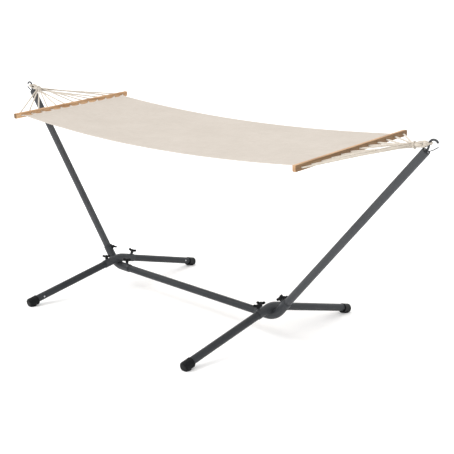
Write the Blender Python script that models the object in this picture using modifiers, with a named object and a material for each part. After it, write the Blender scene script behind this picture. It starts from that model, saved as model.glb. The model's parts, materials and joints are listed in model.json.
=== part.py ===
"""Garden hammock on a steel stand, modelled in metres with +Z up.

X runs along the hammock, Y across it, and the floor is z = 0. Two bent hubs join a floor tube,
two raking uprights and four legs; each tube is held in its sleeve by a hand knob. The hammock
hangs from a hook on each upright: a steel ring carries six doubled cords, which are bound by a
tie, fan out to the twelve holes of a wooden spreader bar and end in the hem of the cloth bed.
"""

import math

import bmesh
import bpy
from mathutils import Matrix, Vector

# Fits and facets
GAP = 0.0004
TUBE_SIDES = 24
SMALL_SIDES = 12
CORD_SIDES = 6

# Stand: tubes and hubs
TUBE_R = 0.021
TUBE_WALL = 0.0015
SLEEVE_R = 0.0242
SOCKET_R = 0.0216
CORNER_X = 0.653
SPINE_Z = 0.125
UPRIGHT_ANGLE = math.radians(49.7)
UPRIGHT_LENGTH = 1.299
ELBOW_R = 0.120
SLEEVE_LENGTH = 0.130
APEX_X = 0.625
APEX_Z = 0.176
LEG_SLOPE = math.radians(13.4)
LEG_LEAN = math.radians(7)
LEG_BEND_R = 0.150
LEG_SLEEVE_LENGTH = 0.115
LEG_LENGTH = 0.664
INSERT_CLEARANCE = 0.006

# Feet
CAP_START = 0.616
CAP_END = 0.675
CAP_R = 0.0268
CAP_DROP = 0.0036
CAP_BORE_R = 0.0214
PAD_AT = 0.646
PAD_R = 0.0235
PAD_TOP = 0.014
PAD_DRAFT = 0.0015
SCREW_FROM_CAP = 0.040
SCREW_RAISE = math.radians(15)
SCREW_HEAD_R = 0.0048
SCREW_HEAD_HEIGHT = 0.0024
SCREW_R = 0.0018
SCREW_HOLE_R = 0.0023
SCREW_REACH = 0.0055

# Hand knobs
KNOB_ALONG_ARM = 0.102
KNOB_ALONG_LEG = 0.095
BOSS_R = 0.0085
BOSS_TOP = 0.033
STUD_R = 0.0038
STUD_HOLE_R = 0.0044
KNOB_GAP = 0.0012
KNOB_FOOT_R = 0.0105
KNOB_WAIST_R = 0.0078
KNOB_CROWN_R = 0.0070
KNOB_TOP = 0.056
WING_WAY = (0.72, 0.69, 0)
WING_HALF = 0.0235
WING_LIFT = 0.003
WING_R = 0.0058
WING_Z = 0.0505

# Hook, keeper and ring
PLATE_THICKNESS = 0.0028
SPIGOT_LENGTH = 0.030
HOOK_STEM = 0.012
HOOK_BAR_R = 0.0055
HOOK_CENTRE_X = 1.531
HOOK_CENTRE_Z = 1.1485
HOOK_R = 0.024
HOOK_TIP_ANGLE = math.radians(22)
KEEPER_ACROSS = 0.014
KEEPER_HEIGHT = 0.005
KEEPER_ANGLE = math.radians(32)
KEEPER_LENGTH = 0.055
KEEPER_R = 0.0015
KEEPER_BARREL_R = 0.0036
BARREL_HALF = 0.0037
LUG_SIZE = (0.008, 0.002, 0.010)
LUG_SPREAD = 0.0052
PIN_R = 0.0016
PIN_HALF = 0.0066
PIN_HEAD_R = 0.0028
SWING_Z = 1.155
SEAT_GAP = 0.0012
RING_R = 0.0175
RING_WIRE_R = 0.003

# Hammock
BAR_X = {-1: -1.065, 1: 1.100}
BAR_Z = 1.0725
BAR_TILT = math.radians(5.5)
BAR_LENGTH = 0.864
BAR_THICKNESS = 0.024
BAR_HEIGHT = 0.031
BAR_EDGE_R = 0.005
HOLES = 12
HOLE_PITCH = 0.0714
HOLE_R = 0.0038
CORD_R = 0.0029
CORD_PITCH = 0.0065
INNER_TURN_R = 0.0065
EDGE_TURN_R = 0.0095
OUTER_TURN_R = 0.0130
TIE_START = 0.046
TIE_WIDTH = 0.013
TIE_INNER_R = 0.0147
TIE_OUTER_R = 0.0168
TIE_TAIL = 0.014
TAIL_R = 0.0019
HEM_GAP = 0.030
BED_HALF_WIDTH_MIDDLE = 0.390
BED_HALF_WIDTH_END = 0.378
BED_LOW_Z = 1.0235
BED_RISE = 0.0425
BED_THICKNESS = 0.003
BED_STEPS = 18
BED_COLUMNS = 4
BED_DISH = 0.006

SIDES = {"left": -1, "right": 1}


def clear_scene():
    for obj in list(bpy.data.objects):
        bpy.data.objects.remove(obj, do_unlink=True)


def make_collections():
    parts = bpy.data.collections.new("hammock_on_stand")
    cutters = bpy.data.collections.new("cutters")
    for collection in (parts, cutters):
        bpy.context.scene.collection.children.link(collection)
    cutters.hide_render = True
    return parts, cutters


def make_material(name, colour, roughness, metallic=0.0):
    material = bpy.data.materials.new(name)
    material.use_nodes = True
    shader = material.node_tree.nodes["Principled BSDF"]
    shader.inputs["Base Color"].default_value = (*colour, 1.0)
    shader.inputs["Roughness"].default_value = roughness
    shader.inputs["Metallic"].default_value = metallic
    material.diffuse_color = (*colour, 1.0)
    return material


def placed(origin, z_axis, x_hint=(0, 1, 0)):
    """The matrix of a frame at origin with its Z along z_axis and its X as near x_hint as can be."""
    z = Vector(z_axis).normalized()
    y = z.cross(Vector(x_hint)).normalized()
    x = y.cross(z)
    rotation = Matrix((x, y, z)).transposed()
    return Matrix.Translation(Vector(origin)) @ rotation.to_4x4()


def finish(obj, material, matrix=None, smooth=True):
    obj.data.materials.append(material)
    if matrix is not None:
        obj.matrix_world = matrix
    if smooth and obj.type == "MESH":
        obj.data.shade_smooth()
        obj.data.set_sharp_from_angle(angle=math.radians(35))
    return obj


def mesh_object(name, bm, collection):
    bmesh.ops.recalc_face_normals(bm, faces=bm.faces)
    mesh = bpy.data.meshes.new(name)
    bm.to_mesh(mesh)
    bm.free()
    obj = bpy.data.objects.new(name, mesh)
    collection.objects.link(obj)
    return obj


def add_cylinder(bm, radius, low, high, matrix, sides, top_radius=None):
    """A closed cylinder or cone along the Z of matrix, added to bm."""
    middle = Matrix.Translation((0, 0, (low + high) / 2))
    bmesh.ops.create_cone(
        bm,
        cap_ends=True,
        segments=sides,
        radius1=radius,
        radius2=radius if top_radius is None else top_radius,
        depth=high - low,
        matrix=matrix @ middle,
    )


def add_box(bm, size, matrix):
    bmesh.ops.create_cube(bm, size=1.0, matrix=matrix @ Matrix.Diagonal((*size, 1.0)))


def turned(name, profile, closed, matrix, collection, material, sides=TUBE_SIDES):
    """A profile of (radius, height) points, listed down its outer side, screwed round Z."""
    bm = bmesh.new()
    points = [bm.verts.new((radius, 0, height)) for radius, height in profile]
    for first, second in zip(points, points[1:]):
        bm.edges.new((first, second))
    if closed:
        bm.edges.new((points[-1], points[0]))
    mesh = bpy.data.meshes.new(name)
    bm.to_mesh(mesh)
    bm.free()
    obj = bpy.data.objects.new(name, mesh)
    collection.objects.link(obj)
    screw = obj.modifiers.new("Screw", "SCREW")
    screw.steps = screw.render_steps = sides
    screw.use_merge_vertices = True
    screw.merge_threshold = 0.00001
    screw.use_smooth_shade = True
    return finish(obj, material, matrix, smooth=False)


def curve_tube(name, points, radius, sides, collection, radii=None):
    """A round bar along a polyline, with closed ends."""
    curve = bpy.data.curves.new(name, "CURVE")
    curve.dimensions = "3D"
    curve.twist_mode = "MINIMUM"
    curve.bevel_depth = radius
    curve.bevel_resolution = (sides - 4) // 2
    curve.use_fill_caps = True
    spline = curve.splines.new("POLY")
    spline.points.add(len(points) - 1)
    for index, point in enumerate(points):
        spline.points[index].co = (*point, 1.0)
        spline.points[index].radius = radii[index] if radii else 1.0
        spline.use_smooth = True
    obj = bpy.data.objects.new(name, curve)
    collection.objects.link(obj)
    return obj


def as_mesh(obj, collection):
    """The curve object replaced by a welded mesh object of the same name."""
    graph = bpy.context.evaluated_depsgraph_get()
    mesh = bpy.data.meshes.new_from_object(obj.evaluated_get(graph))
    name, matrix = obj.name, obj.matrix_world.copy()
    bpy.data.objects.remove(obj, do_unlink=True)
    bm = bmesh.new()
    bm.from_mesh(mesh)
    bpy.data.meshes.remove(mesh)
    bmesh.ops.remove_doubles(bm, verts=bm.verts, dist=0.000005)
    made = mesh_object(name, bm, collection)
    made.matrix_world = matrix
    return made


def combine(target, operand, operation):
    """A Boolean on target whose operand is kept as a hidden helper."""
    operand.display_type = "WIRE"
    operand.hide_render = True
    modifier = target.modifiers.new(operation.title(), "BOOLEAN")
    modifier.operation = operation
    modifier.solver = "EXACT"
    modifier.object = operand


# Stand geometry


def arm_direction(side):
    return Vector((side * math.cos(UPRIGHT_ANGLE), 0, math.sin(UPRIGHT_ANGLE)))


def inner_normal(side):
    """Square to the upright, pointing up and towards the middle of the stand."""
    return Vector((-side * math.sin(UPRIGHT_ANGLE), 0, math.cos(UPRIGHT_ANGLE)))


def corner(side):
    return Vector((side * CORNER_X, 0, SPINE_Z))


def leg_frame(side, hand):
    """The apex of the leg sleeve, the leg's direction and its upper normal."""
    apex = Vector((side * APEX_X, 0, APEX_Z))
    lean_up = Vector((-side * math.sin(LEG_LEAN), 0, math.cos(LEG_LEAN)))
    across = Vector((0, hand, 0))
    direction = across * math.cos(LEG_SLOPE) - lean_up * math.sin(LEG_SLOPE)
    normal = across * math.sin(LEG_SLOPE) + lean_up * math.cos(LEG_SLOPE)
    return apex, direction, normal


def bent_path(meeting, first, second, radius, first_length, second_length, steps):
    """Two straight arms from their meeting point, joined by an arc of the given radius."""
    turn = math.pi - first.angle(second)
    tangent = radius * math.tan(turn / 2)
    start = meeting + first * tangent
    inward = (first + second).normalized()
    centre = meeting + inward * (radius / math.cos(turn / 2))
    axis = (start - centre).cross(meeting + second * tangent - centre).normalized()
    points = [meeting + first * first_length]
    for step in range(steps + 1):
        points.append(centre + Matrix.Rotation(turn * step / steps, 3, axis) @ (start - centre))
    points.append(meeting + second * second_length)
    return points


def knob_frames(side):
    """The place and outward direction of each of a hub's four knobs, by name."""
    arm = corner(side) + arm_direction(side) * KNOB_ALONG_ARM
    spine = corner(side) - Vector((side * KNOB_ALONG_ARM, 0, 0))
    frames = {
        "upright": (arm, inner_normal(side), arm_direction(side)),
        "spine": (spine, Vector((0, 0, 1)), Vector((1, 0, 0))),
    }
    for name, hand in (("front_leg", -1), ("rear_leg", 1)):
        apex, direction, normal = leg_frame(side, hand)
        frames[name] = (apex + direction * KNOB_ALONG_LEG, normal, direction)
    return frames


def elbow_path(side, extra):
    spine_way = Vector((-side, 0, 0))
    length = SLEEVE_LENGTH + extra
    return bent_path(corner(side), spine_way, arm_direction(side), ELBOW_R, length, length, 8)


def leg_sleeve_path(side, extra):
    apex, front, _ = leg_frame(side, -1)
    _, rear, _ = leg_frame(side, 1)
    length = LEG_SLEEVE_LENGTH + extra
    return bent_path(apex, front, rear, LEG_BEND_R, length, length, 4)


def make_hub(name, side, parts, cutters, steel):
    """Elbow sleeve and arched leg sleeve welded together, with four threaded bosses."""
    hub = as_mesh(curve_tube(f"{name}_hub", elbow_path(side, 0), SLEEVE_R, TUBE_SIDES, parts), parts)
    arch = curve_tube(f"{name}_arch", leg_sleeve_path(side, 0), SLEEVE_R, TUBE_SIDES, cutters)
    combine(hub, as_mesh(arch, cutters), "UNION")
    bosses, holes = bmesh.new(), bmesh.new()
    for place, outward, along in knob_frames(side).values():
        frame = placed(place, outward, along)
        add_cylinder(bosses, BOSS_R, SOCKET_R + 0.001, BOSS_TOP, frame, SMALL_SIDES)
        add_cylinder(holes, STUD_HOLE_R, SOCKET_R - 0.003, BOSS_TOP + 0.002, frame, SMALL_SIDES)
    combine(hub, mesh_object(f"{name}_bosses", bosses, cutters), "UNION")
    for label, path in (("elbow", elbow_path(side, 0.005)), ("legs", leg_sleeve_path(side, 0.005))):
        channel = curve_tube(f"{name}_{label}_channel", path, SOCKET_R, TUBE_SIDES, cutters)
        combine(hub, as_mesh(channel, cutters), "DIFFERENCE")
    combine(hub, mesh_object(f"{name}_stud_holes", holes, cutters), "DIFFERENCE")
    finish(hub, steel)


def make_tube(name, start, end, parts, steel):
    length = (Vector(end) - Vector(start)).length
    inner = TUBE_R - TUBE_WALL
    profile = [(TUBE_R, length), (TUBE_R, 0), (inner, 0), (inner, length)]
    frame = placed(start, Vector(end) - Vector(start))
    return turned(name, profile, True, frame, parts, steel)


def tangent_length(radius, turn):
    return radius * math.tan(turn / 2)


def make_frame_tubes(parts, steel):
    elbow_tangent = tangent_length(ELBOW_R, UPRIGHT_ANGLE) + INSERT_CLEARANCE
    spine_end = CORNER_X - elbow_tangent
    make_tube("spine_tube", (-spine_end, 0, SPINE_Z), (spine_end, 0, SPINE_Z), parts, steel)
    leg_start = tangent_length(LEG_BEND_R, 2 * LEG_SLOPE) + INSERT_CLEARANCE
    for name, side in SIDES.items():
        start = corner(side) + arm_direction(side) * elbow_tangent
        end = corner(side) + arm_direction(side) * UPRIGHT_LENGTH
        make_tube(f"{name}_upright", start, end, parts, steel)
        for hand_name, hand in (("front", -1), ("rear", 1)):
            apex, direction, _ = leg_frame(side, hand)
            start, end = apex + direction * leg_start, apex + direction * LEG_LENGTH
            make_tube(f"{name}_{hand_name}_leg", start, end, parts, steel)


def make_foot(name, side, hand, parts, cutters, plastic, zinc, leg):
    """Rubbery end cap with a flat pad on the floor, and the screw behind it in the leg."""
    apex, direction, normal = leg_frame(side, hand)
    frame = placed(apex - normal * CAP_DROP, direction, normal)
    profile = [
        (0, CAP_END),
        (CAP_R - 0.010, CAP_END),
        (CAP_R - 0.0042, CAP_END - 0.0016),
        (CAP_R - 0.0012, CAP_END - 0.0050),
        (CAP_R, CAP_END - 0.0105),
        (CAP_R, CAP_START + 0.001),
        (CAP_R - 0.001, CAP_START),
        (0, CAP_START),
    ]
    cap = turned(f"{name}_foot_cap", profile, False, frame, parts, plastic)
    centre = apex + direction * PAD_AT
    pad = bmesh.new()
    upright = Matrix.Translation((centre.x, centre.y, 0))
    add_cylinder(pad, PAD_R - PAD_DRAFT, -0.002, PAD_TOP, upright, TUBE_SIDES, PAD_R)
    combine(cap, mesh_object(f"{name}_foot_pad", pad, cutters), "UNION")
    bore = bmesh.new()
    leg_axis = placed(apex, direction, normal)
    add_cylinder(bore, CAP_BORE_R, CAP_START - 0.01, LEG_LENGTH + GAP, leg_axis, TUBE_SIDES)
    combine(cap, mesh_object(f"{name}_foot_bore", bore, cutters), "DIFFERENCE")
    floor = bmesh.new()
    below = Matrix.Translation((centre.x, centre.y, -0.05))
    add_box(floor, (0.2, 0.2, 0.1), below)
    combine(cap, mesh_object(f"{name}_foot_floor", floor, cutters), "DIFFERENCE")
    sideways = direction.cross(normal) * (side * -hand)
    outward = sideways * math.cos(SCREW_RAISE) + normal * math.sin(SCREW_RAISE)
    place = apex + direction * (CAP_START - SCREW_FROM_CAP)
    screw_frame = placed(place, outward, direction)
    hole = bmesh.new()
    inside = TUBE_R - SCREW_REACH
    add_cylinder(hole, SCREW_HOLE_R, inside, TUBE_R + SCREW_REACH, screw_frame, SMALL_SIDES)
    combine(leg, mesh_object(f"{name}_screw_hole", hole, cutters), "DIFFERENCE")
    seat = TUBE_R + GAP
    top = seat + SCREW_HEAD_HEIGHT
    head = [(0, top), (SCREW_HEAD_R * 0.6, top - 0.0004), (SCREW_HEAD_R, seat + 0.0004)]
    shank = [(SCREW_HEAD_R, seat), (SCREW_R, seat), (SCREW_R, inside + 0.001), (0, inside)]
    turned(f"{name}_foot_screw", head + shank, False, screw_frame, parts, zinc, SMALL_SIDES)


def make_knob(name, place, outward, parts, cutters, plastic):
    """Wing knob on its threaded stud; the object's origin is on the stud's axis."""
    stud_foot = TUBE_R + GAP
    neck = BOSS_TOP + KNOB_GAP
    profile = [
        (0, KNOB_TOP),
        (KNOB_CROWN_R - 0.002, KNOB_TOP),
        (KNOB_CROWN_R, KNOB_TOP - 0.002),
        (KNOB_WAIST_R, WING_Z - WING_R),
        (KNOB_FOOT_R, neck + 0.003),
        (KNOB_FOOT_R, neck),
        (STUD_R, neck),
        (STUD_R, stud_foot),
        (0, stud_foot),
    ]
    frame = placed(place, outward, WING_WAY)
    knob = turned(name, profile, False, frame, parts, plastic, SMALL_SIDES)
    shares = (-1.0, -0.5, 0.5, 1.0)
    points = [
        frame @ Vector((share * WING_HALF, 0, WING_Z + WING_LIFT * (share**2 - 0.25)))
        for share in shares
    ]
    wing = curve_tube(f"{name}_wing", points, WING_R, 8, cutters, radii=(0.85, 1.0, 1.0, 0.85))
    combine(knob, as_mesh(wing, cutters), "UNION")


# Hook, keeper and ring


def upright_top(side):
    return corner(side) + arm_direction(side) * UPRIGHT_LENGTH


def hook_path(side):
    """Up the tube's axis, over to upright, then round the hook's arc to its tip."""
    arm = arm_direction(side)
    base = upright_top(side) + arm * (PLATE_THICKNESS / 2)
    leave = upright_top(side) + arm * HOOK_STEM
    tangent_x = side * (HOOK_CENTRE_X - HOOK_R)
    meet = leave + arm * ((tangent_x - leave.x) / arm.x)
    end = Vector((tangent_x, 0, HOOK_CENTRE_Z))
    points = [base]
    steps = 4
    for step in range(steps):
        t = step / steps
        points.append(leave * (1 - t) ** 2 + meet * (2 * t * (1 - t)) + end * t**2)
    steps = 9
    for step in range(steps + 1):
        angle = math.pi - (math.pi - HOOK_TIP_ANGLE) * step / steps
        x = HOOK_CENTRE_X + HOOK_R * math.cos(angle)
        points.append(Vector((side * x, 0, HOOK_CENTRE_Z + HOOK_R * math.sin(angle))))
    return points


def keeper_pivot(side):
    plate_face = upright_top(side) + arm_direction(side) * PLATE_THICKNESS
    return plate_face - inner_normal(side) * KEEPER_ACROSS + arm_direction(side) * KEEPER_HEIGHT


def make_hook(name, side, parts, cutters, steel):
    """End plate and spigot welded to the hook bar, with two lugs for the keeper's pin."""
    frame = placed(upright_top(side), arm_direction(side), inner_normal(side))
    plate_r = TUBE_R - 0.0002
    spigot_r = TUBE_R - TUBE_WALL - GAP
    profile = [
        (0, PLATE_THICKNESS),
        (plate_r - 0.0008, PLATE_THICKNESS),
        (plate_r, PLATE_THICKNESS - 0.0008),
        (plate_r, GAP),
        (spigot_r, GAP),
        (spigot_r, -SPIGOT_LENGTH),
        (0, -SPIGOT_LENGTH),
    ]
    hook = turned(f"{name}_hook", profile, False, frame, parts, steel)
    bar = curve_tube(f"{name}_hook_bar", hook_path(side), HOOK_BAR_R, SMALL_SIDES, cutters)
    combine(hook, as_mesh(bar, cutters), "UNION")
    lugs = bmesh.new()
    for y in (-LUG_SPREAD, LUG_SPREAD):
        middle = keeper_pivot(side) + Vector((0, y, 0)) - arm_direction(side) * 0.002
        add_box(lugs, LUG_SIZE, placed(middle, arm_direction(side), inner_normal(side)))
    combine(hook, mesh_object(f"{name}_lugs", lugs, cutters), "UNION")
    hole = bmesh.new()
    across = placed(keeper_pivot(side), (0, 1, 0), (0, 0, 1))
    add_cylinder(hole, PIN_R + GAP, -0.008, 0.008, across, SMALL_SIDES)
    combine(hook, mesh_object(f"{name}_pin_hole", hole, cutters), "DIFFERENCE")


def make_keeper(name, side, parts, cutters, spring_steel, steel):
    """Wire keeper that turns on a riveted pin in front of the hook's mouth."""
    pivot = keeper_pivot(side)
    across = placed(pivot, (0, 1, 0), (0, 0, 1))
    bore = PIN_R + GAP
    outer = [(KEEPER_BARREL_R, BARREL_HALF), (KEEPER_BARREL_R, -BARREL_HALF)]
    barrel = outer + [(bore, -BARREL_HALF), (bore, BARREL_HALF)]
    keeper = turned(f"{name}_keeper", barrel, True, across, parts, spring_steel, SMALL_SIDES)
    way = Vector((side * math.cos(KEEPER_ANGLE), 0, math.sin(KEEPER_ANGLE)))
    points = [pivot + way * reach for reach in (0.0028, 0.020, 0.040, KEEPER_LENGTH)]
    arm = curve_tube(f"{name}_keeper_arm", points, KEEPER_R, 8, cutters, radii=(1.5, 1.3, 1.1, 1.0))
    combine(keeper, as_mesh(arm, cutters), "UNION")
    pin = [
        (0, PIN_HALF + 0.0012),
        (PIN_HEAD_R, PIN_HALF + 0.0008),
        (PIN_HEAD_R, PIN_HALF),
        (PIN_R, PIN_HALF),
        (PIN_R, -PIN_HALF),
        (PIN_HEAD_R, -PIN_HALF),
        (PIN_HEAD_R, -PIN_HALF - 0.0008),
        (0, -PIN_HALF - 0.0012),
    ]
    turned(f"{name}_keeper_pin", pin, False, across, parts, steel, SMALL_SIDES)


def clew_frame(side):
    """The ring's centre, the middle of the cords' turns on it, their pull and upper normal."""
    drop = math.atan2(SWING_Z - BAR_Z, HOOK_CENTRE_X - HOOK_R - abs(BAR_X[side]))
    pull = Vector((-side * math.cos(drop), 0, -math.sin(drop)))
    normal = Vector((-side * math.sin(drop), 0, math.cos(drop)))
    seat_r = HOOK_R - HOOK_BAR_R - RING_WIRE_R - SEAT_GAP
    rim_x = HOOK_CENTRE_X - math.sqrt(seat_r**2 - (SWING_Z - HOOK_CENTRE_Z) ** 2)
    ring = Vector((side * rim_x, 0, SWING_Z)) + pull * RING_R
    return ring, ring + pull * RING_R, pull, normal


def make_ring(name, side, parts, steel):
    ring, _, pull, normal = clew_frame(side)
    bpy.ops.mesh.primitive_torus_add(
        major_radius=RING_R, minor_radius=RING_WIRE_R, major_segments=20, minor_segments=8
    )
    obj = bpy.context.active_object
    obj.name = obj.data.name = f"{name}_ring"
    for collection in list(obj.users_collection):
        collection.objects.unlink(obj)
    parts.objects.link(obj)
    finish(obj, steel, placed(ring, normal, pull))


# Hammock


def hole_point(side, index, beyond):
    """A point on a bar hole's axis, beyond metres from the bar's middle towards the hook."""
    along = (index - (HOLES - 1) / 2) * HOLE_PITCH
    return Vector(
        (
            BAR_X[side] + side * beyond,
            along * math.cos(BAR_TILT),
            BAR_Z + along * math.sin(BAR_TILT),
        )
    )


def bed_end_x(side):
    return BAR_X[side] - side * HEM_GAP


def bed_half_width(x):
    share = (x / bed_end_x(1 if x > 0 else -1)) ** 2
    return BED_HALF_WIDTH_MIDDLE + (BED_HALF_WIDTH_END - BED_HALF_WIDTH_MIDDLE) * share


def bed_point(x, across):
    """A point of the cloth's middle surface; across runs from -1 at the front to 1 at the rear."""
    half = bed_half_width(x)
    end = abs(bed_end_x(1 if x > 0 else -1))
    dish = BED_DISH * (1 - across**2) * (1 - (x / end) ** 4)
    rise = BED_LOW_Z + BED_RISE * x**2 - dish
    return Vector(
        (x, across * half * math.cos(BAR_TILT), rise + across * half * math.sin(BAR_TILT))
    )


def hem_point(side, index):
    """Where a cord meets the cloth's end."""
    share = (index - (HOLES - 1) / 2) / ((HOLES - 1) / 2)
    inset = (BED_HALF_WIDTH_END - 0.006) / BED_HALF_WIDTH_END
    point = bed_point(bed_end_x(side), share * inset)
    return point + Vector((side * CORD_R, 0, 0))


def strand_points(side, index, column, level, turn_level, turn_shift):
    """From the ring along the bundle, out of the tie, through the bar and on to the hem."""
    _, start, pull, normal = clew_frame(side)
    across = Vector((0, column, 0))
    points = [
        start + across + normal * turn_level + pull * turn_shift,
        start + across + normal * turn_level + pull * (turn_shift + 0.008),
        start + across + normal * level + pull * TIE_START,
        start + across + normal * level + pull * (TIE_START + TIE_WIDTH + 0.001),
    ]
    for beyond in (0.0175, 0.0145, -0.0145):
        points.append(hole_point(side, index, beyond))
    points.append(hem_point(side, index))
    return points


def cord_pairs():
    """Each cord's two bar holes, its place across the bundle, and its levels there and on the ring."""
    near, far = CORD_PITCH / 2, CORD_PITCH * 1.5
    edge_reach = far + CORD_R / 2
    edge_shift = -(RING_R - math.sqrt(RING_R**2 - edge_reach**2))
    return [
        (0, 1, -far, near, EDGE_TURN_R, edge_shift),
        (2, 5, -near, far, OUTER_TURN_R, 0.0),
        (3, 4, -near, near, INNER_TURN_R, 0.0),
        (7, 8, near, near, INNER_TURN_R, 0.0),
        (6, 9, near, far, OUTER_TURN_R, 0.0),
        (10, 11, far, near, EDGE_TURN_R, edge_shift),
    ]


def make_cords(name, side, parts, cotton):
    _, start, pull, normal = clew_frame(side)
    for number, (first, second, column, level, turn, shift) in enumerate(cord_pairs(), 1):
        upper = strand_points(side, first, column, level, turn, shift)
        lower = strand_points(side, second, column, -level, -turn, shift)
        centre = start + Vector((0, column, 0)) + pull * shift
        steps = 6
        bend = []
        for step in range(1, steps):
            angle = math.pi * step / steps
            bend.append(centre + normal * (turn * math.cos(angle)) - pull * (turn * math.sin(angle)))
        points = list(reversed(upper)) + bend + lower
        cord = curve_tube(f"{name}_cord_{number}", points, CORD_R, CORD_SIDES, parts)
        finish(cord, cotton)


def make_tie(name, side, parts, cutters, cotton):
    """Binding round the cords, with the two tails of its knot."""
    _, start, pull, normal = clew_frame(side)
    frame = placed(start + pull * TIE_START, pull, normal)
    middle = TIE_WIDTH / 2
    profile = [
        (TIE_OUTER_R - 0.001, TIE_WIDTH),
        (TIE_OUTER_R, middle),
        (TIE_OUTER_R - 0.001, 0),
        (TIE_INNER_R, 0),
        (TIE_INNER_R, TIE_WIDTH),
    ]
    tie = turned(f"{name}_tie", profile, True, frame, parts, cotton, 16)
    root = start + pull * (TIE_START + middle)
    for number, spread in enumerate((-0.35, 0.30)):
        way = (-normal + pull * spread).normalized()
        reaches = (TIE_INNER_R + 0.001, TIE_OUTER_R + 0.004, TIE_INNER_R + TIE_TAIL)
        points = [root + way * reach for reach in reaches]
        tail = curve_tube(f"{name}_tail_{number}", points, TAIL_R, CORD_SIDES, cutters)
        combine(tie, as_mesh(tail, cutters), "UNION")


def make_bar(name, side, parts, cutters, wood):
    tilt = Matrix.Rotation(BAR_TILT, 4, "X")
    frame = Matrix.Translation((BAR_X[side], 0, BAR_Z)) @ tilt
    bm = bmesh.new()
    add_box(bm, (BAR_THICKNESS, BAR_LENGTH, BAR_HEIGHT), Matrix.Identity(4))
    bmesh.ops.bevel(
        bm, geom=bm.edges[:], offset=BAR_EDGE_R, segments=2, affect="EDGES", profile=0.5
    )
    bar = mesh_object(f"{name}_spreader_bar", bm, parts)
    bar.matrix_world = frame
    holes = bmesh.new()
    for index in range(HOLES):
        through = placed(hole_point(side, index, 0), (1, 0, 0))
        add_cylinder(holes, HOLE_R, -BAR_THICKNESS, BAR_THICKNESS, through, SMALL_SIDES)
    combine(bar, mesh_object(f"{name}_bar_holes", holes, cutters), "DIFFERENCE")
    finish(bar, wood)


def make_bed(parts, cotton):
    """The cloth as an open sheet of quads, given its thickness by Solidify."""
    bm = bmesh.new()
    rows = []
    for step in range(BED_STEPS + 1):
        share = step / BED_STEPS
        x = bed_end_x(-1) + (bed_end_x(1) - bed_end_x(-1)) * share
        across = [2 * column / BED_COLUMNS - 1 for column in range(BED_COLUMNS + 1)]
        rows.append([bm.verts.new(bed_point(x, share_across)) for share_across in across])
    for row, following in zip(rows, rows[1:]):
        for column in range(BED_COLUMNS):
            bm.faces.new(
                (row[column], following[column], following[column + 1], row[column + 1])
            )
    bed = mesh_object("bed", bm, parts)
    solidify = bed.modifiers.new("Solidify", "SOLIDIFY")
    solidify.thickness = BED_THICKNESS
    solidify.offset = 0
    finish(bed, cotton)


def main():
    clear_scene()
    parts, cutters = make_collections()
    steel = make_material("anthracite_powder_coat", (0.055, 0.058, 0.062), 0.42)
    black = make_material("black_plastic", (0.012, 0.012, 0.013), 0.5)
    zinc = make_material("zinc_plated_steel", (0.60, 0.60, 0.62), 0.3, 1.0)
    wood = make_material("beech", (0.49, 0.30, 0.17), 0.5)
    cotton = make_material("cream_cotton", (0.76, 0.69, 0.60), 0.9)
    make_frame_tubes(parts, steel)
    make_bed(parts, cotton)
    for name, side in SIDES.items():
        make_hub(name, side, parts, cutters, steel)
        for label, (place, outward, _) in knob_frames(side).items():
            make_knob(f"{name}_{label}_knob", place, outward, parts, cutters, black)
        for hand_name, hand in (("front", -1), ("rear", 1)):
            leg = bpy.data.objects[f"{name}_{hand_name}_leg"]
            make_foot(f"{name}_{hand_name}", side, hand, parts, cutters, black, zinc, leg)
        make_hook(name, side, parts, cutters, steel)
        make_keeper(name, side, parts, cutters, zinc, zinc)
        make_ring(name, side, parts, zinc)
        make_cords(name, side, parts, cotton)
        make_tie(name, side, parts, cutters, cotton)
        make_bar(name, side, parts, cutters, wood)


main()
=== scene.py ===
"""The looks of a garden hammock on a demountable steel stand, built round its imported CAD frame.

X runs along the hammock, Y across it, and the floor is z = 0. The stand's powder-coated tubes,
hubs and moulded parts, the twisted cotton cords, the beech spreader bars and the hemmed canvas
bed are fine meshes in the places that the frame gives, each with its own node material.
"""

import json
import math
from functools import partial

import bmesh
import bpy
import numpy as np
from mathutils import Matrix, Vector, noise

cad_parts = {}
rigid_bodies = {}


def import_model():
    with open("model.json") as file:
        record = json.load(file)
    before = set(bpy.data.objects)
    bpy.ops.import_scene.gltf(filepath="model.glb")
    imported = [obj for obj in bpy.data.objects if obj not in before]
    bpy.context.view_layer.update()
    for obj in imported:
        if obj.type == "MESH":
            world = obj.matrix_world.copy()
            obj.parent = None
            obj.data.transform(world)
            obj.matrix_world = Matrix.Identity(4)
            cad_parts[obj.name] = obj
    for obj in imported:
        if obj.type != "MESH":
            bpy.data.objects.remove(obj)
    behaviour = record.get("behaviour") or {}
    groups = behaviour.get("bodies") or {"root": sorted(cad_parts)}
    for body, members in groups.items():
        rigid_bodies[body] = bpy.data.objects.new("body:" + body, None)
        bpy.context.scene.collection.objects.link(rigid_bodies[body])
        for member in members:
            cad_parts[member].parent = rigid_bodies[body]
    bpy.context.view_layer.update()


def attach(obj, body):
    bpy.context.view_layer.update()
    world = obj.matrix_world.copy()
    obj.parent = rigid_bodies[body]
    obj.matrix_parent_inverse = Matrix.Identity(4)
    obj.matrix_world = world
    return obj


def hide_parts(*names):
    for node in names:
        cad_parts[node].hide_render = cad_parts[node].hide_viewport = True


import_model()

TAU = 2 * math.pi
SIDES = {"left": -1, "right": 1}
HANDS = {"front": -1, "rear": 1}

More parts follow.
